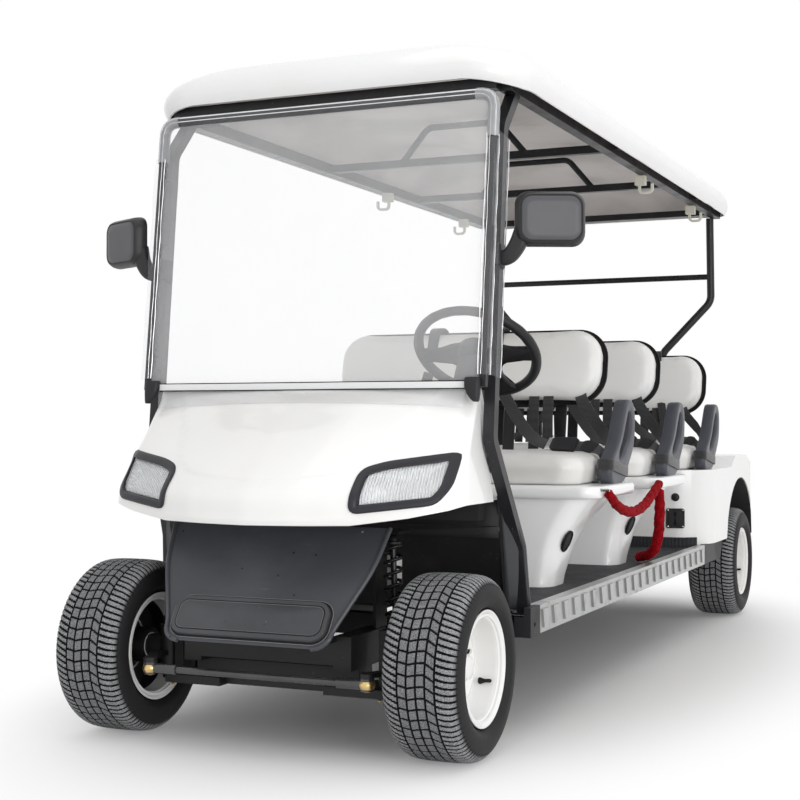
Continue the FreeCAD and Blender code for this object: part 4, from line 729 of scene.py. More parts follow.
ROOF_FRONT, ROOF_REAR, ROOF_HALF, ROOF_LOW = 208.0, 3058.0, 568.0, 1730.0
ROOF_WALL, LINING_GAP, LINING_DEPTH, LINING_RISE = 5.0, 0.9, 3.0, 16.0
ROOF_LEVELS = ((0.0, 6.0, 150.0), (15.0, -1.0, 153.0), (33.0, -4.0, 156.0), (54.0, 2.0, 158.0),
               (78.0, 20.0, 161.0), (102.0, 52.0, 168.0), (122.0, 92.0, 174.0), (136.0, 140.0, 181.0),
               (144.0, 180.0, 187.0), (146.0, 215.0, 192.0))
RIM_DROOP = 16.0
FRONT_LIFT = 15.0


def level_outlines(levels, x0, y0, x1, y1, corner=10):
    """Level rounded rectangles, one for each (height, draw-in, corner radius)."""
    middle, width, depth = ((x0 + x1) / 2, (y0 + y1) / 2), x1 - x0, y1 - y0
    return np.array([level_outline(height, middle, width - 2 * draw_in, depth - 2 * draw_in, radius, corner)
                     for height, draw_in, radius in levels])


def roof_skin(inset, count=36):
    """Level outlines of the roof, drawn in by an even margin. The lower rim droops toward the sides, by
    the fourth power of a point's share of the half width, and lifts across the front; both fade with the
    rise."""
    levels = [(ROOF_LOW + rise - inset * (rise > 0), draw_in + inset, radius)
              for rise, draw_in, radius in smooth_line(ROOF_LEVELS, count)]
    rows = level_outlines(levels, -ROOF_HALF, ROOF_FRONT, ROOF_HALF, ROOF_REAR)
    share = np.clip(np.abs(rows[..., 0]) / (ROOF_HALF - 20), 0, 1)
    fade = np.clip(1 - (rows[..., 2] - ROOF_LOW) / 70, 0, 1)
    front = np.clip(1 - (rows[..., 1] - ROOF_FRONT) / 150, 0, 1)
    rows[..., 2] += fade * (FRONT_LIFT * front * (1 - share ** 4) - RIM_DROOP * share ** 4)
    return rows


outer, inner = roof_skin(0.0), roof_skin(ROOF_WALL, 12)
top = outer[-1].mean(0)
crown = np.array([outer[-1] + (top - outer[-1]) * k + (0, 0, 0.01 * k) for k in (0.3, 0.7, 0.97)])
under = toward(inner[-1], top - (0, 0, ROOF_WALL), (0.97, 0.5))
piece("roof_skin", skin(np.concatenate([under, inner[::-1], outer, crown]), wrap_columns=True,
                        lids=(0, -1)),
      roof_white_painted_shade, replaces=("roof_shell",))
lining, over = roof_skin(ROOF_WALL + LINING_GAP, 24), roof_skin(ROOF_WALL + LINING_GAP + LINING_DEPTH, 24)
lining, over = (rows[rows[..., 2].max(1) > ROOF_LOW + LINING_RISE] for rows in (lining, over))
ceiling = toward(over[-1], over[-1].mean(0), (0.5, 0.97))
piece("roof_lining", skin(np.concatenate([lining[:1], over, ceiling]), wrap_columns=True, lids=(-1,)),
      headliner, replaces=("roof_liner",), wall=1.0)


# Nose: the cowl follows level outlines, each a shallow V with round shoulders

COWL_LEVELS = np.array([(577.0, -214.0, 508.0, 1.0), (600.0, -218.0, 508.0, 1.0),
                        (650.0, -212.0, 503.0, 1.0), (700.0, -160.0, 496.0, 0.86),
                        (750.0, -104.0, 489.0, 0.72), (800.0, -40.0, 485.0, 0.6),
                        (850.0, 28.0, 482.0, 0.45), (890.0, 80.0, 478.0, 0.34),
                        (919.0, 132.0, 472.0, 0.12)])
COWL_BACK, COWL_TOP = 200.0, 918.5
COWL_WALL = 4.0
BONNET_RISE, BONNET_SLOPE = 4.5, 8.0
RECESS_MIDDLE, RECESS_HALF, RECESS_DEPTH = (20, 632), (172, 34), 3.0
COWL_SPANS = np.array([(0.0, 0.0), (0.27, 17.0), (0.52, 60.0), (0.77, 112.0), (0.915, 152.0),
                       (0.975, 196.0)])


def cowl_level(z):
    """Nose position, half width and sweep of the cowl at heights, smoothed between its levels."""
    fine = smooth_line(COWL_LEVELS, 120)
    return [np.interp(z, fine[:, 0], fine[:, k]) for k in (1, 2, 3)]


def cowl_front(x, z):
    """How far back the cowl's surface lies at a width and height."""
    nose, half, sweep = cowl_level(z)
    spans = smooth_line(COWL_SPANS, 60)
    return nose + np.interp(np.abs(x) / half, spans[:, 0], spans[:, 1]) * sweep


def bonnet_edge(z):
    """The raised bonnet panel's half width at a height: round at the nose, then widening up to the
    screen."""
    return np.interp(z, (686, 690, 700, 712, 731, 812, 869, 900, 919),
                     (0, 90, 190, 232, 268, 320, 365, 392, 405))


def cowl_grid(inset, rows=70):
    """The cowl's surface: heights from its lower edge, which lifts toward the sides, to its top."""
    f = smooth_line(np.concatenate([COWL_SPANS, [(1.0, 196.0)]]), 46)[:, 0]
    f = np.concatenate([f, np.full(8, 1.0)])
    back = np.concatenate([np.zeros(46), np.linspace(0.125, 1, 8)])
    f, back = np.concatenate([-f[::-1], f[1:]]), np.concatenate([back[::-1], back[1:]])
    low = np.interp(np.abs(f), (0, 0.52, 0.78, 0.95, 1.0), (578, 580, 598, 616, 626))
    z = low + (COWL_TOP - low) * np.linspace(0, 1, rows)[:, None]
    nose, half, sweep = cowl_level(z)
    spans = smooth_line(np.concatenate([COWL_SPANS, [(1.0, 226.0)]]), 60)
    x = f * (half - inset)
    front = nose + np.interp(np.abs(f), spans[:, 0], spans[:, 1]) * sweep
    y = front + (COWL_BACK - front) * back + inset * (1 - np.abs(f) * 0.8)
    raised = np.clip((bonnet_edge(z) - np.abs(x)) / BONNET_SLOPE, 0, 1)
    y = y - BONNET_RISE * raised * raised * (3 - 2 * raised) * (back == 0)
    recess = near(x - RECESS_MIDDLE[0], RECESS_HALF[0], 5) * near(z - RECESS_MIDDLE[1], RECESS_HALF[1], 4)
    return np.stack([x, y + RECESS_DEPTH * recess, z - inset * 0.3], -1)


def soft_loop(corners, radius, count):
    """A closed outline through corners, each rounded off, as points at equal distances."""
    ends = np.concatenate([corners[-1:], corners, corners[:1]])
    flat = bent_line(np.column_stack([ends, np.zeros(len(ends))]), radius, 7)[1:-1, :2]
    return resample(flat, count, closed=True)


def drawn_in(loop, margin):
    """An outline that runs anticlockwise, drawn in by an even margin."""
    run = unit(np.roll(loop, -1, 0) - np.roll(loop, 1, 0))
    return loop + np.stack([-run[:, 1], run[:, 0]], 1) * margin


def lamp_loop(margin, count=72):
    """The headlamp's slanted outline in width and height, drawn in by an even margin."""
    corners = np.array([(262, 606), (458, 629), (480, 668), (483, 752), (468, 757), (318, 735), (262, 716)],
                       float)
    return drawn_in(soft_loop(corners, 26, count), margin)


def on_cowl(loop, stand):
    """Puts an outline of (width, height) on the cowl, standing forward of its surface."""
    x, z = loop[..., 0], loop[..., 1]
    return np.stack([x, cowl_front(x, z) - stand, z], -1)


def inside(loop, x, z):
    """Whether points lie within an outline: an odd number of its edges lie to their right."""
    a, b = loop, np.roll(loop, -1, 0)
    spans = (a[:, 1] > z[..., None]) != (b[:, 1] > z[..., None])
    cross = a[:, 0] + (z[..., None] - a[:, 1]) * (b[:, 0] - a[:, 0]) / (b[:, 1] - a[:, 1] + 1e-9)
    return (spans & (x[..., None] < cross)).sum(-1) % 2 == 1


def cowl_shell():
    """Outer and inner surfaces joined at the lower edge and at the top, open where the lamps sit."""
    points, faces = skin(np.concatenate([cowl_grid(COWL_WALL)[::-1], cowl_grid(0.0)]))
    faces = np.array(faces)
    middle = points[faces].mean(1)
    hole = inside(lamp_loop(12), np.abs(middle[:, 0]), middle[:, 2])
    return points, faces[~(hole & (middle[:, 1] < 120))].tolist()


piece("cowl_skin", cowl_shell(), body_white, replaces=("front_cowl",), outward=False, crease=50)
steps = ((0.0, -3.0), (0.0, 3.5), (2.0, 6.2), (4.5, 7.0), (16.0, 6.4), (19.5, 4.0), (21.0, -6.0),
         (22.5, -30.0))
bezel = skin(np.array([on_cowl(lamp_loop(margin), stand) for margin, stand in steps]), wrap_columns=True)
piece("lamp_bezels", both(bezel), bezel_black, replaces=("headlight_bezels",), crease=60)


def lamp_bowl(margin, depths):
    """Nested outlines drawn toward the lamp's middle, each at its own depth."""
    loop = lamp_loop(margin)
    middle = loop.mean(0)
    rows = [on_cowl(middle + (loop - middle) * size, -depth) for size, depth in depths]
    return skin(np.array(rows), wrap_columns=True, lids=(-1,))


lens = lamp_bowl(20.5, [(1.0, 9), (0.98, 5), (0.9, 3), (0.6, 2), (0.3, 1.5), (0.05, 1.5)])
bowl = lamp_bowl(21.5, [(1.0, 14), (0.97, 24), (0.8, 42), (0.5, 55), (0.25, 60), (0.05, 62)])
piece("lamp_lenses", both(lens), lens_clear, replaces=("headlight_lenses",))
piece("lamp_reflectors", both(bowl), reflector)
seal_x = np.linspace(-470, 470, 60)
seal_line = np.stack([seal_x, cowl_front(seal_x, 0 * seal_x + 918.0) - 3, 0 * seal_x + 920.0], 1)
piece("cowl_seal", carry(seal_line, ring(3.2, 8)), seal_rubber)


FLAP_HALF = 468


def screen_flap():
    """The clear apron under the screen: it leans forward on to the cowl and hangs free past the
    shoulders."""
    share = np.linspace(-1, 1, 80)[None, :]
    t = np.linspace(0, 1, 12)[:, None]
    z = 925 - (42 + 14 * share ** 2) * t
    x = FLAP_HALF * share * (1 - 0.035 * t * share ** 6)
    y = np.minimum(128 - 26 * t, cowl_front(x * 0.96, np.minimum(z, 918)) - 7 - 2 * t)
    return skin(np.stack([x + 0 * t, y + 0 * x, z], -1))


piece("screen_flap", screen_flap(), flap_clear, wall=1.5)


# Seat pods: a tapered plinth that sweeps out under a thick rounded lip

POD_FRONTS = (838.0, 1573.0)
PLINTH_FOOT, PLINTH_HEIGHT, PLINTH_HALF, PLINTH_LENGTH = 336, 268, 455, 180
VENT_PLACE = (486, 62, 470)
VENT_LEAN = 22
SEAT_TOP = 640.0


def pod_skin(front):
    """Level outlines up the plinth, out under the lip, round its edge and over the top."""
    rows = []
    for r in np.linspace(0, 1, 22):
        flare = np.interp(r, (0, 0.1, 0.42, 0.6, 0.75, 0.9, 1.0), (0, 0.03, 0.2, 0.36, 0.58, 0.84, 1.0))
        rows.append((PLINTH_FOOT + r * PLINTH_HEIGHT, PLINTH_HALF + flare * 101, -14 + 28 * r,
                     -14 + PLINTH_LENGTH + flare * 244, 55 + 15 * r))
    lip = ((600, 562, 12, 432), (601, 586, 0, 458), (603, 595, -4, 466), (608, 599, -7, 469),
           (616, 600, -8, 470), (628, 600, -8, 470), (634, 598, -6, 468), (638, 594, -2, 464),
           (640, 588, 4, 458), (640, 500, 60, 400))
    rows += [(z, half, y0, y1, 60) for z, half, y0, y1 in lip]
    return skin(np.array([level_outline(z, (0, front + (y0 + y1) / 2), 2 * half, y1 - y0, radius, 8)
                          for z, half, y0, y1, radius in rows]), wrap_columns=True, lids=(0, -1))


def pod_vent(front):
    """A round vent on the plinth's side: a low ring about a dished dark disc."""
    at = np.array(VENT_PLACE) + (0, front, 0)
    rim = turned(smooth_line([(-5, 34), (2, 34.5), (3.5, 32), (3, 29), (-1, 28)], 14), at, count=40)
    well = turned([(-1, 28.5), (0.5, 24), (1.5, 12), (1.8, 0.01)], at, count=40)
    return tilted(join([rim, well]), VENT_LEAN, at, "y")


piece("pod_skins", join([pod_skin(front) for front in POD_FRONTS]), pod_white, replaces=("seat_pods",),
      crease=50)
piece("pod_vents", both(join([pod_vent(front) for front in POD_FRONTS])), seal_rubber)


# Soft seats

ROWS = ((838.0, 1285.0, 903.0), (1573.0, 2005.0, 903.0), (2370.0, 2752.0, 876.0))
PAD_LENGTH, PAD_HEIGHT, PAD_RADIUS, PAD_BASE = 404, 96, 74, 640.3
BACK_HALF = (482.0, 482.0, 496.0)
BACK_HEIGHT, BACK_DEPTH, BACK_RADIUS = 252.0, 62.0, 100
BACK_LEAN = math.radians(12.0)
ARMREST_X = (566.0, 566.0, 545.0)
ARMREST_Y = (1053.0, 1770.0, 2500.0)


def cushion_form(half, length, height, radius):
    """A crowned pad about the origin: outlines that swell at mid height, tuck in at the base and close
    over a top that rises to its middle."""
    quarter = math.pi / 2
    levels = []
    for t in np.linspace(0, 1, 20):
        if t < 0.35:
            draw = 30 * (1 - math.sin(min(t * quarter * 1.8, quarter)))
        else:
            draw = 66 * (1 - math.cos((t - 0.35) / 0.65 * quarter))
        levels.append((height * (0.02 + 0.86 * math.sin(t * quarter)), draw / 2,
                       max(radius - draw * 0.3, 20)))
    outlines = level_outlines(levels, -half, 0, half, length, 10)
    shares = np.array([0.12, 0.28, 0.46, 0.65, 0.83, 0.96])
    tops = np.array(toward(outlines[-1], outlines[-1].mean(0), shares))
    tops[..., 2] = height * (0.88 + 0.12 * np.sin(shares * quarter))[:, None]
    return skin(np.concatenate([outlines, tops]), wrap_columns=True, lids=(0, -1))


FILL_CELL, FILL_CAP = 0.009, 0.008
FILL_FRAMES, FILL_PRESSURE, FILL_STIFFNESS = 18, 3.5, 25


def swollen(obj, rest, facing):
    """Fills a pad: its mesh is remeshed in even cells and blown up as cloth for some frames. No point
    may move further than FILL_CAP metres, and none past the plane through the rest point, which the pad
    lies on."""
    copy = bpy.data.objects.new(obj.name + "_fill", obj.data.copy())
    bpy.context.scene.collection.objects.link(copy)
    bpy.ops.object.select_all(action="DESELECT")
    copy.select_set(True)
    bpy.context.view_layer.objects.active = copy
    even = copy.modifiers.new("even", "REMESH")
    even.mode = "VOXEL"
    even.voxel_size = FILL_CELL
    bpy.ops.object.modifier_apply(modifier="even")
    start = np.empty(len(copy.data.vertices) * 3)
    copy.data.vertices.foreach_get("co", start)
    cloth = copy.modifiers.new("fill", "CLOTH")
    cloth.settings.use_pressure = True
    cloth.settings.uniform_pressure_force = FILL_PRESSURE
    cloth.settings.effector_weights.gravity = 0.0
    cloth.settings.tension_stiffness = FILL_STIFFNESS
    cloth.settings.quality = 5
    scene = bpy.context.scene
    for moment in range(1, FILL_FRAMES + 1):
        scene.frame_set(moment)
    blown = copy.evaluated_get(bpy.context.evaluated_depsgraph_get())
    moved = np.empty(len(start))
    blown.data.vertices.foreach_get("co", moved)
    start = start.reshape(-1, 3)
    step = moved.reshape(-1, 3) - start
    step *= np.minimum(1.0, FILL_CAP / np.maximum(np.linalg.norm(step, axis=1, keepdims=True), 1e-9))
    filled = start + step
    facing = unit(np.asarray(facing, float))
    past = np.minimum((filled - placed(rest)[0]) @ facing, 0.0)
    filled -= past[:, None] * facing
    copy.modifiers.remove(cloth)
    copy.data.vertices.foreach_set("co", filled.ravel())
    copy.data.update()
    scene.frame_set(1)
    old = obj.data
    obj.data = copy.data
    bpy.data.objects.remove(copy)
    bpy.data.meshes.remove(old)
    obj.data.shade_smooth()
    smoother = obj.modifiers.new("finer", "SUBSURF")
    smoother.levels = smoother.render_levels = 1


for row in range(3):
    front = ROWS[row][0]
    form = cushion_form(ARMREST_X[row] - 27, PAD_LENGTH, PAD_HEIGHT, PAD_RADIUS)
    pad = piece("seat_pad_%d" % (row + 1), shifted(form, (0, front + 14, PAD_BASE)), pearl,
                replaces=("seat_cushions",), crease=70)
    swollen(pad, (0, front, PAD_BASE), (0, 0, 1))


def back_outline(row, grow, depth):
    """A backrest's outline as (width, depth behind its front, rise)."""
    flat = rounded(2 * (BACK_HALF[row] + grow), BACK_HEIGHT + 2 * grow, BACK_RADIUS + grow, 14)
    return np.insert(flat + (0, BACK_HEIGHT / 2), 1, depth, axis=1)


def leaned(points, row):
    """Leans a backrest, drawn as (width, depth behind its front, rise), back on to its row."""
    x, depth, rise = (points[..., k] for k in range(3))
    return on_slope((ROWS[row][1] - 20, ROWS[row][2]), BACK_LEAN, x, depth, rise)


def back_pad(row):
    """A backrest pad: outlines from its back edge forward, round into a crowned face."""
    steps = ((BACK_DEPTH, -7), (58, -4), (48, -3), (36, -3.2), (26, -4), (17, -6.5), (10, -11), (5.5, -18),
             (2.8, -28), (1.4, -42))
    rows = [back_outline(row, grow, depth) for depth, grow in steps]
    shares = np.array([0.15, 0.35, 0.6, 0.85, 0.97])
    face = np.array(toward(rows[-1], rows[-1].mean(0), shares))
    face[..., 1] = 1.4 * (1 - shares)[:, None]
    return skin(leaned(np.concatenate([rows, face]), row), wrap_columns=True, lids=(0, -1))


def back_shell(row):
    """The black shell behind a pad: a rim that stands round it and a shallow dished back with a raised
    border."""
    steps = ((58, 1.5), (59, 3.0), (62, 3.6), (66, 3.0), (69, 0), (71, -6), (71.3, -30), (69.5, -36),
             (69.0, -44))
    rows = [back_outline(row, grow, depth) for depth, grow in steps]
    rows += toward(rows[-1], rows[-1].mean(0), (0.5, 0.97))
    return skin(leaned(np.array(rows), row), wrap_columns=True, lids=(-1,))


for row in range(3):
    pad = piece("back_pad_%d" % (row + 1), back_pad(row), pearl, replaces=("backrests",), crease=70)
    rest, face = leaned(np.array([(0.0, BACK_DEPTH, 0.0), (0.0, 0.0, 0.0)]), row)
    swollen(pad, rest, face - rest)
piece("back_shells", join([back_shell(row) for row in range(3)]), dash_black, replaces=("backrest_shells",),
      wall=2.0)


def armrest_form(row):
    """A padded loop: its outer outline and its opening, joined by rows that round over each edge."""
    outer = np.array([(-8, 0), (118, 0), (178, 50), (246, 116), (262, 190), (250, 240), (212, 261),
                      (168, 256), (126, 206), (68, 128), (-24, 56)])
    opening = np.array([(78, 74), (118, 84), (150, 106), (192, 136), (212, 172), (214, 204), (200, 224),
                        (180, 222), (156, 194), (118, 142), (82, 104)])
    at = (ARMREST_Y[row], SEAT_TOP)
    outer, opening = (resample(smooth_line(line + at, 110, closed=True), 88, closed=True)
                      for line in (outer, opening))
    rows = []
    for across, share in ((-22, 0.14), (-21, 0.05), (-15, 0.0), (0, 0.0), (15, 0.0), (21, 0.05), (22, 0.14),
                          (22, 0.86), (20, 0.96), (12, 1.0), (-12, 1.0), (-20, 0.96), (-22, 0.86)):
        rows.append(np.insert(outer + (opening - outer) * share, 0, ARMREST_X[row] + across, axis=1))
    return skin(np.array(rows), wrap_rows=True, wrap_columns=True)


piece("armrest_loops", both(join([armrest_form(row) for row in range(3)])), armrest_black,
      replaces=("armrests",), crease=60)


# Steering wheel

WHEEL_MIDDLE = np.array([305.0, 610.0, 1032.0])
COLUMN_LEAN = -40.0
WHEEL_RADIUS = 175.0


def steering_form():
    """A padded ring, thick at the grips, round a wide soft pad: two side spokes and a broad lower one
    that run together into a domed hub with a round cap."""
    a = np.linspace(0, TURN, 120, endpoint=False)
    line = np.stack([WHEEL_RADIUS * np.cos(a), WHEEL_RADIUS * np.sin(a), 0 * a], 1)
    grip = 14.2 + 0.8 * np.cos(2 * a) + 0.35 * np.cos(a * 24) * (np.sin(a) < -0.2)
    parts = [carry(line, ring(1.0, 16), closed=True, scale=grip)]
    right = np.array([(0, -44), (62, -40), (110, -24), (168, -20), (172, 4), (168, 26), (112, 26), (72, 44),
                      (56, 82), (66, 126), (90, 152), (60, 166), (0, 172)], float)
    corners = np.concatenate([right, right[-2:0:-1] * (-1, 1)])
    loop = resample(smooth_line(corners, 260, closed=True), 144, closed=True)
    steps = ((-11, 5), (-12, 1.5), (-8, 0), (-1, 0), (3, 1.5), (5.5, 4.5), (6.5, 9))
    rows = [np.column_stack([drawn_in(loop, margin), np.full(len(loop), rise)]) for rise, margin in steps]
    middle, front = np.array([0.0, 12.0, 8.0]), rows[-1]
    rows += [front + (middle + (0, 0, 8 * share) - front) * share for share in (0.25, 0.5, 0.75, 0.95)]
    parts.append(skin(np.array(rows), wrap_columns=True, lids=(0, -1)))
    hub = smooth_line([(-26, 38), (-22, 54), (-8, 58), (4, 57), (12, 52), (16, 44), (16.5, 37), (14.5, 35),
                       (15, 33), (19, 29), (21.5, 18), (22.5, 0.01)], 50)
    parts.append(turned(hub, (0, 0, 0), "z", 56))
    return shifted(tilted(join(parts), COLUMN_LEAN, np.zeros(3)), WHEEL_MIDDLE)


piece("steering_grip", steering_form(), grip_black, body="steering_wheel", replaces=("steering_wheel",))


# Mirrors


MIRROR_INNER, MIRROR_OUTER = np.array([560.0, 210.0]), np.array([724.0, 290.0])
MIRROR_LOW, MIRROR_HEIGHT = 1283, 143.0


def mirror_form():
    """A soft-cornered housing drawn through outlines from its rear rim forward, with a flat inset panel."""
    width = np.linalg.norm(MIRROR_OUTER - MIRROR_INNER)
    run = unit(MIRROR_OUTER - MIRROR_INNER)
    forward = np.array([run[1], -run[0]])
    steps = ((0, -7, 24), (-1, -2, 29), (3, 0, 34), (12, -0.5, 36), (24, -3, 35), (32, -7, 33),
             (37, -10, 31), (38, -12, 30), (36, -13.5, 29), (36, -15, 28), (37.5, -16.5, 27), (38, -30, 18))
    rows = []
    for depth, grow, radius in steps:
        flat = rounded(width + 2 * grow, MIRROR_HEIGHT + 2 * grow, radius, 7)
        plan = MIRROR_INNER + (flat[:, :1] + width / 2) * run + depth * forward
        rows.append(np.column_stack([plan, flat[:, 1] + MIRROR_LOW + MIRROR_HEIGHT / 2]))
    cover = [row + np.append(0.5 * forward, 0) for row in rows[-3:]]
    return [skin(np.array(part), wrap_columns=True, lids=(-1,)) for part in (rows, cover)]


def mirror_arm():
    """The arm from the post to the housing's foot, and the block that holds it."""
    line = bent_line([(508, 212, 1256), (548, 204, 1256), (572, 206, 1290), (586, 214, 1334)], 18)
    arm = carry(line, rounded(40, 28, 10, 4), up=(0, 1, 0), scale=np.linspace(1.0, 1.15, len(line)))
    block = carry([(506, 205, 1232), (506, 206, 1236), (506, 210, 1290), (506, 210, 1294)],
                  rounded(46, 46, 8, 4), up=(0, 1, 0), scale=[0.92, 1.0, 1.0, 0.92])
    return join([arm, block])


mirror_shell, mirror_cover_plate = mirror_form()
piece("mirror_shells", both(join([mirror_shell, mirror_arm()])), mirror_black,
      replaces=("mirror_housings",), crease=50)
piece("mirror_covers", both(mirror_cover_plate), mirror_cover, crease=50, outward=False)


# Ropes

SWAG = ((616.98, 881.25, 625.71), (617, 940, 592), (617, 1036, 562), (617, 1160, 545), (616, 1300, 554),
        (612, 1434, 587), (607.70, 1566.08, 626.68))
DROP = ((602.5, 1576, 605.7), (604, 1578, 556), (598, 1594, 486), (588, 1612, 420), (562, 1638, 375),
        (522, 1668, 362), (494, 1688, 356))


def route_line(name, points):
    """The rope's line: points along the smooth spline whose control points are the route's."""
    curve = bpy.data.curves.new(name + "_route", "CURVE")
    curve.dimensions = "3D"
    curve.resolution_u = 24
    spline = curve.splines.new("NURBS")
    spline.points.add(len(points) - 1)
    flat = np.column_stack([placed(points), np.ones(len(points))])
    spline.points.foreach_set("co", flat.ravel())
    spline.order_u = 3
    spline.use_endpoint_u = True
    holder = bpy.data.objects.new(name + "_route", curve)
    mesh = bpy.data.meshes.new_from_object(holder)
    line = np.empty(len(mesh.vertices) * 3)
    mesh.vertices.foreach_get("co", line)
    bpy.data.objects.remove(holder)
    bpy.data.meshes.remove(mesh)
    bpy.data.curves.remove(curve)
    return line.reshape(-1, 3)


def gathered_rope(name, points, radius, node, folds):
    """A velvet sleeve gathered over a rope: its radius swells between the gathers and wanders round the
    rope. Returns the object and its line."""
    line = resample(route_line(name, points), 220)
    along = np.linspace(0, 1, 220)[:, None]
    a = np.linspace(0, TURN, 28, endpoint=False)[None, :]
    puff = 0.045 * np.sin(along * folds * TURN + 1.9 * np.sin(a + along * 9))
    puff += 0.035 * np.sin(a * 5 + along * 42) + 0.035 * np.sin(a * 3 - along * 70 + 2.0)
    puff -= 0.12 * (2 * along - 1) ** 2
    across, lift = crossways(line, (1.0, 0.2, 0.1))
    ends = np.clip(np.minimum(along, 1 - along) * 40, 0.35, 1)
    r = radius * 0.001 * (0.94 + puff) * ends
    one, other = (r * np.cos(a))[..., None], (r * np.sin(a))[..., None]
    grid = line[:, None] + one * across[:, None] + other * lift[:, None]
    metres, faces = skin(grid, wrap_columns=True, lids=(0, -1))
    part = (metres * 1000 + (0, MIDDLE_Y, 0), faces)
    return piece(name, part, red_velvet, replaces=(node,), crease=80), line


swag, swag_line = gathered_rope("swag_sleeve", SWAG, 16.5, "rope_swag", 15)
drop, drop_line = gathered_rope("drop_sleeve", DROP, 19.0, "rope_drop", 6)


# Windscreen trim: film left on its frame, a silver foot bar and the brackets beside it

SCREEN_FOOT = (132.0, 921.0)
SCREEN_LEAN = math.atan2(87.0, 769.0)
SCREEN_LENGTH = 773.9
STILE_X = 503.0
TUBE_STRAIGHT, TUBE_BEND = 656, 40
FILM_LOW, FILM_HIGH = 30, 668


def on_screen(x, behind, up):
    return on_slope(SCREEN_FOOT, SCREEN_LEAN, x, behind, up)


def film_sleeve():
    """A loose square sleeve round the screen's upright and the post behind it; its corners wander along
    it."""
    up = np.linspace(FILM_LOW, FILM_HIGH, 70)[:, None]
    flat = rounded(36, 80, 5, 3)[None]
    drift = 0.8 * np.sin(up / 31 + flat[..., 0] / 9) + 0.5 * np.sin(up / 13.0 + flat[..., 1] / 17)
    across, behind = STILE_X + 4 + flat[..., 0] + drift, 27 + flat[..., 1] - drift
    return skin(on_screen(across, behind, up), wrap_columns=True)


def painted_highlight_strip(x, behind, width):
    """A bright metal line along the upright where the film's pressed edge is: a painted highlight."""
    up = np.linspace(FILM_LOW + 2, FILM_HIGH - 4, 50)
    line = on_screen(x + 0.7 * np.sin(up / 19 + x), behind, up)
    return carry(line, rounded(width, 1.6, 0.7, 2), up=(0, -1, 0),
                 scale=1 + 0.12 * np.sin(up / 11 + behind))


def tube_line(behind, grow, count=60):
    """The screen's top tube: up one side, round its two bends and down the other, drawn out by a margin."""
    x, top = STILE_X + grow, SCREEN_LENGTH + grow
    corners = [(-x, 0, TUBE_STRAIGHT), (-x, 0, top), (x, 0, top), (x, 0, TUBE_STRAIGHT)]
    flat = bent_line(corners, TUBE_BEND + grow, 9)
    return resample(on_screen(flat[:, 0], behind, flat[:, 2]), count)


piece("post_film", both(film_sleeve()), film_clear, outward=False)
# painted highlights: bright lines along the film's edges on the uprights and round the top tube
edges = [painted_highlight_strip(x, behind, width)
         for x, behind, width in ((490.5, -12, 2.6), (515.5, 8, 6.5), (524.5, 66, 3.0), (499.5, -13, 1.4))]
top_edges = [carry(tube_line(-9, 9), ring(2.4, 8)), carry(tube_line(-13, -3), ring(1.3, 6))]
piece("film_painted_highlights", join([both(join(edges)), join(top_edges)]), film_painted_highlight)
bend = tube_line(0, 0, 160)
piece("corner_film", both(carry(bend[139:], ring(16.2, 16), lids=())), film_cloudy)
piece("tube_film", carry(bend[20:-20], ring(15.4, 16), lids=()), film_clear)

bar_x = np.linspace(-492, 486, 40)
bar = on_screen(bar_x, -10.2, 5.5 + 0.3 * np.sin(bar_x / 90))
piece("foot_bar", carry(bar, rounded(17, 3.4, 1.4, 3), up=(0, -1, 0)), bar_silver)
seals = [carry(on_screen(bar_x, -9.6, up), ring(radius, 6)) for up, radius in ((15.6, 1.5), (-4.4, 1.2))]
piece("foot_seals", join(seals), seal_rubber)


def foot_bracket():
    """A soft-cornered lug at the screen's foot: level outlines that narrow downward."""
    rows = [level_outline(z, (x, 112 + (z - 884) * 0.11), 2 * half, 2 * depth, min(half, depth) * 0.7, 4)
            for z, x, half, depth in ((947, 479, 15, 9), (946, 479, 19, 12), (941, 479, 21, 14),
                                      (922, 480, 21, 14), (904, 483, 17, 13), (890, 488, 11, 11),
                                      (884, 491, 7, 8), (883, 491, 4, 5))]
    return skin(np.array(rows), wrap_columns=True, lids=(0, -1))


piece("foot_brackets", both(foot_bracket()), trim_black)


# Front panel: the rounded pad's double border, and pale worn lines along its edges

PANEL_FOOT, PANEL_TOP = (-212.0, 284.0), 566
PANEL_SLOPE = math.atan2(192.0, 282.0)
PAD_SIZE, PAD_MIDDLE, PAD_CORNER = (436, 106), 69, 36.0


def on_panel(x, stand, up):
    """Points given across the front panel, standing off it and up along it."""
    return on_slope(PANEL_FOOT, PANEL_SLOPE, x, -stand, up)


def pad_loop(margin):
    """The pad's outline, drawn in by a margin."""
    width, height = (size - 2 * margin for size in PAD_SIZE)
    return rounded(width, height, max(PAD_CORNER - margin, 4), 8) + (0, PAD_MIDDLE)


def pad_bead(margin, stand, radius):
    """A closed bead along the pad's outline."""
    flat = resample(pad_loop(margin), 150, closed=True)
    return carry(on_panel(flat[:, 0], stand, flat[:, 1]), ring(radius, 8), closed=True)


def pad_plate(steps):
    """The pad's face: outlines drawn in step by step, then a flat plate."""
    rows = [on_panel(pad_loop(margin)[:, 0], stand, pad_loop(margin)[:, 1]) for margin, stand in steps]
    rows += toward(rows[-1], rows[-1].mean(0), (0.96,))
    return skin(np.array(rows), wrap_columns=True, lids=(-1,))


piece("pad_face", pad_plate(((-1.0, 1.0), (-0.6, 9.0), (1.5, 12.2), (11.0, 12.4), (12.2, 11.0),
                             (13.2, 10.6), (14.4, 12.2), (15.5, 12.7))), pad_grey, outward=False)
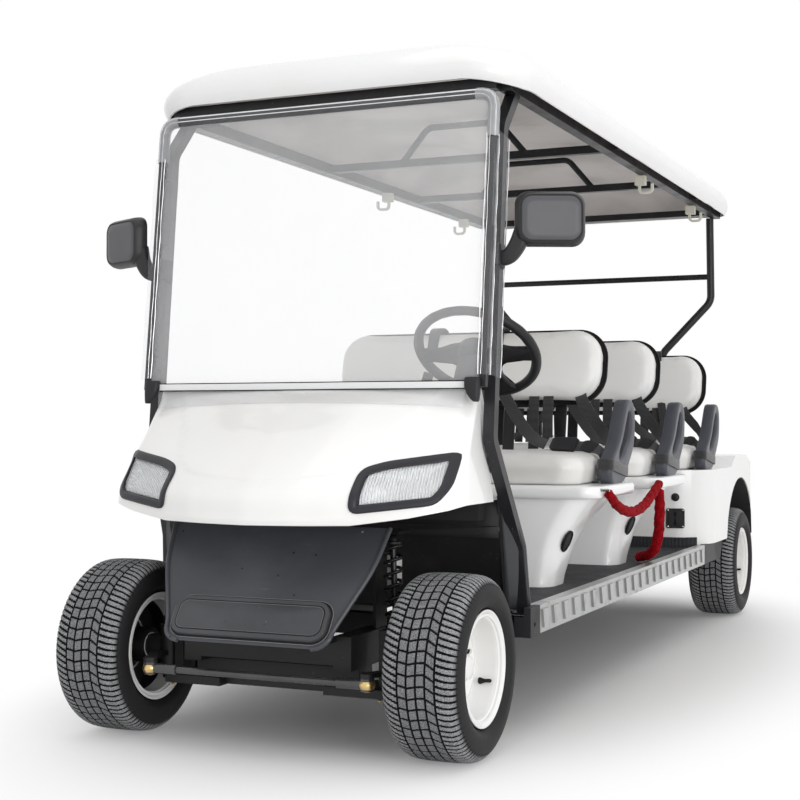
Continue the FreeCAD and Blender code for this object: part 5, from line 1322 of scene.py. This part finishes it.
# painted shade: near-black beads along the pad's grooves
piece("pad_grooves", join([pad_bead(-3.0, 1.6, 2.2), pad_bead(12.9, 12.3, 1.5)]), groove_painted_shade)
piece("pad_borders", join([pad_bead(-6.2, 1.0, 1.1), pad_bead(14.6, 12.4, 0.7)]), edge_worn)
edge = np.array([(317, 566), (300, 470), (262, 380), (240, 330), (233, 305), (216, 290), (192, 284)], float)
edge_y = -21 - (PANEL_TOP - edge[:, 1]) * 0.681
rolled = smooth_line(np.column_stack([edge[:, 0] - 4, edge_y, edge[:, 1]]), 60)
piece("panel_rolls", both(carry(rolled, ring(6.0, 10))), panel_black)


# Covers behind the front wheels, and the socket and key knob on the rear body's corner

def lathe(start, end, stations, count=22):
    """A round form along a straight line: radii at shares of its length."""
    start, end = np.asarray(start, float), np.asarray(end, float)
    shares, radii = np.array(stations, float).T
    return carry(start + (end - start) * shares[:, None], ring(1.0, count), up=(0.3, 0.9, 0.1), scale=radii)


POST_KNEE = 502
APRON_HALF, APRON_Y, APRON_LOW = 503, 243, 528


def post_cover():
    """The plate between kick panel and post: level lines from the panel's edge to the post, which leans
    forward and inward above its knee."""
    z = np.array([338.0, 380, 440, POST_KNEE, 540, 580, 622, 660])[:, None]
    above, below = np.clip(z - POST_KNEE, 0, None), np.clip(POST_KNEE - z, 0, None)
    inner_x, inner_y = 0 * z + 509.5, 237 + (640 - z) * 0.197
    outer_x, outer_y = 560 + below * 0.048 - above * 0.204, 296 + below * 0.1 - above * 0.447
    t = np.linspace(0, 1, 8)[None, :]
    return skin(np.stack([inner_x + (outer_x - inner_x) * t, inner_y + (outer_y - inner_y) * t, z + 0 * t],
                         -1))


def inner_apron():
    """The dark sheet that closes the space behind the wheels, from toe board up to dash: it bows back at
    its middle."""
    x = np.linspace(-APRON_HALF, APRON_HALF, 24)[None, :]
    z = np.array([APRON_LOW, 545.0, 570, 600, 628])[:, None]
    y = APRON_Y + 8 * (1 - (x / APRON_HALF) ** 2) + (z - APRON_LOW) * 0.05
    return skin(np.stack(np.broadcast_arrays(x, y, z), -1))


piece("post_covers", both(post_cover()), cover_grey, wall=3.0)
piece("inner_apron", inner_apron(), dash_black, wall=2.0)
BODY_HALF, BODY_FRONT = 597.0, 2375.0
CORNER_TURN, CORNER_RADIUS = math.radians(9.0), 150.0
SOCKET_Z, KNOB_Z = 450, 533


def on_corner(across, out, up):
    """Points given across the rear body's round front corner, out from it and up."""
    c, s = math.cos(CORNER_TURN), math.sin(CORNER_TURN)
    across, out, up = np.broadcast_arrays(across, out, up)
    x = BODY_HALF - CORNER_RADIUS + across * c + (CORNER_RADIUS + out) * s
    return np.stack([x, BODY_FRONT + CORNER_RADIUS + across * s - (CORNER_RADIUS + out) * c, up], -1)


def corner_plate(half, tall, z, steps):
    """A soft-cornered plate: its outline drawn in step by step as it stands out."""
    rows = []
    for margin, out in steps:
        flat = rounded(2 * (half - margin), 2 * (tall - margin), 9, 5)
        rows.append(on_corner(flat[:, 0], out, z + flat[:, 1]))
    return skin(np.array(rows), wrap_columns=True, lids=(-1,))


def corner_stud(across, z, radius, height):
    """A round head that stands out from the corner and domes over."""
    foot, tip = on_corner(across, -6, z), on_corner(across, height, z)
    return lathe(foot, tip, ((0, radius), (0.8, radius), (0.93, radius * 0.86), (1.0, radius * 0.5)), 24)


knob = [corner_stud(0, KNOB_Z, 16, 5), corner_stud(0, KNOB_Z, 11.5, 11),
        corner_plate(2.2, 9, KNOB_Z, ((0, 8), (0.3, 14)))]
rim = ((0, -8), (0, 3.2), (1.2, 4.6), (5, 4.8), (6.2, 3.4), (8.5, 3.4), (9.7, 4.9), (14, 5.1))
flap = [corner_plate(36, 39, SOCKET_Z, rim), corner_plate(3, 26, SOCKET_Z, ((0, 4), (0.6, 7.5)))]
screws = [corner_stud(across, SOCKET_Z + up, 3.6, 6.4) for across in (-29, 29) for up in (-32, 32)]
piece("socket_cover", join(knob + flap), trim_black, replaces=("charge_socket",), crease=40)
piece("socket_screws", join(screws), hook_steel)


# Front end: coil springs over dampers, ball joints, grease nipples and the washer bottle


def coil(start, end, turns, radius, wire):
    """A spring: its wire's line runs round the axis at an even radius while it climbs along it."""
    run = unit(end - start)
    one = unit(np.cross(run, (0.0, 1.0, 0.0)))
    other = np.cross(run, one)
    t = np.linspace(0, 1, int(turns * 26))[:, None]
    round_axis = np.cos(t * turns * TURN) * one + np.sin(t * turns * TURN) * other
    return carry(start + (end - start) * t + radius * round_axis, ring(wire, 9), up=run)


SHOCK_FOOT, SHOCK_HEAD = np.array([298.0, 62.0, 168.0]), np.array([268.0, 92.0, 540.0])
STEER_ARM = (309.0, -149.0, 197.0)
NIPPLE = ((0, 0.01), (0, 5), (2, 6.5), (7, 6.5), (8, 4.5), (14, 4), (16, 5.2), (20, 4.6), (22, 0.01))
damper = lathe(SHOCK_FOOT, SHOCK_HEAD,
               ((-0.02, 4), (-0.018, 13), (0.0, 15), (0.34, 15), (0.345, 24), (0.36, 25), (0.365, 8),
                (0.93, 8), (0.935, 25), (0.95, 26), (0.96, 14), (1.0, 12), (1.02, 4)))
low, high = toward(SHOCK_FOOT, SHOCK_HEAD, (0.37, 0.93))
piece("shock_springs", both(join([damper, coil(low, high, 6.5, 23.0, 4.6)])), spring_black,
      replaces=("shock_absorbers",), crease=50)
seat = lathe(SHOCK_FOOT, SHOCK_HEAD, ((0.325, 16), (0.327, 25.5), (0.34, 26.5), (0.353, 25.5), (0.355, 16)),
             30)
piece("spring_seats", both(seat), brass, crease=50)
ball = smooth_line([(-19, 0.01), (-17.5, 9), (-11, 16.5), (0, 20.5), (10, 16.5), (15, 9), (16, 0.01)], 22)
joints = [turned(ball, (side * STEER_ARM[0], STEER_ARM[1], STEER_ARM[2]), "z", 28) for side in SIDES]
piece("rod_ball_joints", join(joints), brass, body="tie_rod")
studs = [lathe((x, y, z), (x + dx, y - 16, z + dz), [(s / 22, r) for s, r in NIPPLE], 10)
         for x, y, z, dx, dz in ((262, -30, 166, -14, -4), (296, -42, 158, 4, -20), (232, -42, 172, 2, 3))]
piece("grease_nipples", both(join(studs)), brass, crease=50)


def washer_bottle():
    """A soft-cornered bottle: level outlines that round in at its foot and shoulder."""
    rows = [level_outline(z, (x, 152), 2 * half, 2 * deep, min(half, deep) * 0.5, 5)
            for z, half, deep, x in ((402, 6, 6, 242), (404, 20, 18, 239), (410, 25, 21, 237),
                                     (430, 27, 22, 236), (468, 27, 22, 236), (476, 25, 20, 236),
                                     (480, 16, 14, 236), (482, 8, 8, 236))]
    return skin(np.array(rows), wrap_columns=True, lids=(0, -1))


bottle_neck = lathe((242, 152, 404), (244, 150, 380),
                    ((0.0, 5), (0.3, 5), (0.34, 3.2), (0.9, 3.2), (1.0, 1.5)), 10)
piece("washer_bottle", join([washer_bottle(), bottle_neck]), bottle_white)


# Belts: flat webbing with buckles and adjusters


WEB_THICKNESS = 3.4


def strap(points, facings, width=40.0, count=64):
    """Webbing along a smooth line, its face turned along the facings that go with the line's points."""
    line = smooth_line(np.array(points, float), count)
    facing = unit(smooth_line(np.array(facings, float), count))
    return carry(line, rounded(width, WEB_THICKNESS, WEB_THICKNESS * 0.45, 3), up=facing)


def in_row(part, row):
    """Moves a part drawn at the first row to another: back with its backrest, down with it above the
    seat, and in with its armrest."""
    points, faces = part
    points = points + (0, ROWS[row][1] - ROWS[0][1], 0)
    points[:, 2] -= (ROWS[0][2] - ROWS[row][2]) * np.clip((points[:, 2] - 770) / 120, 0, 1)
    side = np.sign(points[:, 0]) * np.clip((np.abs(points[:, 0]) - 480) / 60, 0, 1)
    points[:, 0] -= (ARMREST_X[0] - ARMREST_X[row]) * side
    return points, faces


FRONTWARD, AHEAD, OUTWARD = (0.0, -0.98, 0.2), (0.1, -0.8, 0.6), (0.9, -0.2, 0.35)


def lap_belt():
    """The long belt: down the backrest's face, across the seat and over to the armrest's foot."""
    over_back = [(0, 0.9, 0.3), (0, 0.7, 0.7), (0, 0.1, 1)]
    to_foot = [(0.5, -0.4, 0.7), OUTWARD]
    facings = over_back + [FRONTWARD] * 6 + [(0.1, -0.9, 0.3)] + [AHEAD] * 4 + to_foot
    return strap([(112, 1398, 1096), (113, 1384, 1141), (115, 1348, 1154), (116, 1316, 1142),
                  (118, 1301, 1098), (124, 1282, 1010), (134, 1270, 962), (155, 1258, 925),
                  (205, 1236, 852), (262, 1206, 790), (318, 1178, 762), (380, 1160, 755), (440, 1142, 754),
                  (500, 1120, 750), (536, 1106, 732), (548, 1098, 700)], facings, count=130)


def buckle():
    """The belt's latch: a soft-cornered body with a thinner throat, and an adjuster further along."""
    line = np.linspace((352, 1166, 760), (444, 1141, 758), 12)
    widths = [40, 50] + [52] * 8 + [50, 40]
    body = carry(line, rounded(1.0, 0.38, 0.13, 4), up=AHEAD, scale=widths)
    line = np.linspace((466, 1132, 757), (512, 1116, 749), 8)
    widths = [34, 40, 43, 43, 43, 43, 40, 34]
    slider = carry(line, rounded(1.0, 0.3, 0.1, 4), up=AHEAD, scale=widths)
    return join([body, slider])


def tongue():
    """The belt's metal plate beside the latch, and the wire loop further back."""
    line = np.linspace((334, 1172, 761), (356, 1165, 760), 4)
    plate = carry(line, rounded(50, 4.6, 2.0, 3), up=AHEAD)
    at = np.array([(286, 1270, 786), (321, 1270, 786), (321, 1268, 776), (286, 1268, 776)], float)
    return join([plate, carry(smooth_line(at, 40, closed=True), ring(1.8, 8), closed=True, up=(0, -1, 0))])


rear_straps = [strap([(x, 1284, 918), (x, 1277, 890), (x, 1272, 840), (x + 1, 1268, 790),
                      (x + 2, 1262, 742)],
                     [FRONTWARD] * 5, width=36) for x in (254, 303)]
cross_strap = strap([(410, 1290, 925), (421, 1276, 900), (452, 1270, 852), (492, 1258, 800),
                     (528, 1226, 762), (552, 1180, 726), (556, 1150, 700)],
                    [FRONTWARD] * 3 + [(0.2, -0.9, 0.4), (0.4, -0.7, 0.5), (0.7, -0.5, 0.4), OUTWARD])
shoulder = strap([(292, 2830, 1112), (297, 2800, 1130), (300, 2783, 1116), (305, 2771, 1060),
                  (316, 2755, 980), (328, 2738, 900), (336, 2728, 866), (352, 2706, 800), (380, 2660, 752),
                  (420, 2634, 744)],
                 [(0, 0.7, 0.7), (0, 0.1, 1)] + [FRONTWARD] * 5 + [(0, -0.8, 0.5), AHEAD, AHEAD], width=34,
                 count=90)


def wrap(row):
    """A band of webbing taken round the armrest's foot."""
    loop = rounded(51, 196, 18, 6)
    line = np.column_stack([ARMREST_X[row] + loop[:, 0], ARMREST_Y[row] + 68 + loop[:, 1],
                            SEAT_TOP + 46 - loop[:, 1] * 0.15])
    return carry(line, rounded(WEB_THICKNESS, 34, 1.5, 3), closed=True, up=(0, 0.15, 0.98))


webs = [in_row(part, row) for row in range(3) for part in [lap_belt(), cross_strap] + rear_straps]
piece("lap_belts", both(join(webs + [shoulder] + [wrap(row) for row in range(3)])), belt_cloth,
      replaces=("seat_belts",))
for name, part, finish in (("belt_buckles", buckle(), trim_black),
                           ("belt_tongues", tongue(), buckle_steel)):
    piece(name, both(join([in_row(part, row) for row in range(3)])), finish)


# Stage

SHADOW_HALF_WIDTH, SHADOW_HALF_LENGTH = 1.15, 2.35
LAMPS = (("overhead", (1.0, -1.0, 5.5), (-8, 10, 0), (5.0, 6.0), 70),
         ("front_left", (5.0, -5.0, 1.5), (84, 0, 44), (4.0, 2.5), 135))


def stage_floor():
    """A pale floor that keeps the cart's shadow near it and goes to plain white further out."""
    bpy.ops.mesh.primitive_grid_add(x_subdivisions=2, y_subdivisions=2, size=60)
    floor = bpy.context.object
    floor.name = "studio_floor"
    paint = Finish("floor_white", (0.82, 0.82, 0.812), 0.8)
    x, y = paint.axes()[:2]
    reach = (x / SHADOW_HALF_WIDTH) ** 2 + (y / SHADOW_HALF_LENGTH) ** 2
    white = paint.node("ShaderNodeEmission", None, {"Color": (1, 1, 1, 1), "Strength": 1.0})
    ways = paint.node("ShaderNodeLightPath").socket.node.outputs
    seen = Signal(paint, ways["Is Camera Ray"]).most(Signal(paint, ways["Is Glossy Ray"]))
    seen = seen.most(Signal(paint, ways["Is Transmission Ray"]))
    both_ways = paint.node("ShaderNodeMixShader", None, {0: reach.step(0.35, 1.3) * seen, 2: white})
    paint.tree.links.new(paint.shader.outputs[0], both_ways.socket.node.inputs[1])
    paint.tree.links.new(both_ways.socket, paint.tree.nodes["Material Output"].inputs["Surface"])
    floor.data.materials.append(paint.material)


def studio_light():
    """An even white world at a plain level, seen as white itself, and two wide soft lamps."""
    world = bpy.data.worlds.new("studio")
    bpy.context.scene.world = world
    world.use_nodes = True
    nodes, links = world.node_tree.nodes, world.node_tree.links
    background = nodes["Background"]
    background.inputs["Color"].default_value = (1, 1, 1, 1)
    rays = nodes.new("ShaderNodeLightPath").outputs
    seen = rays["Is Camera Ray"]
    for way in ("Is Transmission Ray", "Is Glossy Ray"):
        either = nodes.new("ShaderNodeMath")
        either.operation = "MAXIMUM"
        links.new(seen, either.inputs[0])
        links.new(rays[way], either.inputs[1])
        seen = either.outputs[0]
    level = nodes.new("ShaderNodeMapRange")
    level.inputs["To Min"].default_value = 0.8
    level.inputs["To Max"].default_value = 1.0
    links.new(seen, level.inputs["Value"])
    links.new(level.outputs[0], background.inputs["Strength"])
    for name, place, turn, size, power in LAMPS:
        lamp = bpy.data.lights.new(name, "AREA")
        lamp.shape = "RECTANGLE"
        lamp.size, lamp.size_y = size
        lamp.energy = power
        obj = bpy.data.objects.new(name, lamp)
        obj.location = place
        obj.rotation_euler = [math.radians(a) for a in turn]
        bpy.context.scene.collection.objects.link(obj)


def photo_camera():
    camera = bpy.data.cameras.new("photo_camera")
    camera.sensor_width = 36.0
    camera.lens = 66.04
    obj = bpy.data.objects.new("photo_camera", camera)
    obj.location = (1.8141, -4.97335, 0.8348)
    obj.rotation_euler = [math.radians(a) for a in (90.811, 0.0, 23.782)]
    bpy.context.scene.collection.objects.link(obj)
    bpy.context.scene.camera = obj


stage_floor()
studio_light()
photo_camera()
bpy.context.scene.view_settings.view_transform = "Standard"
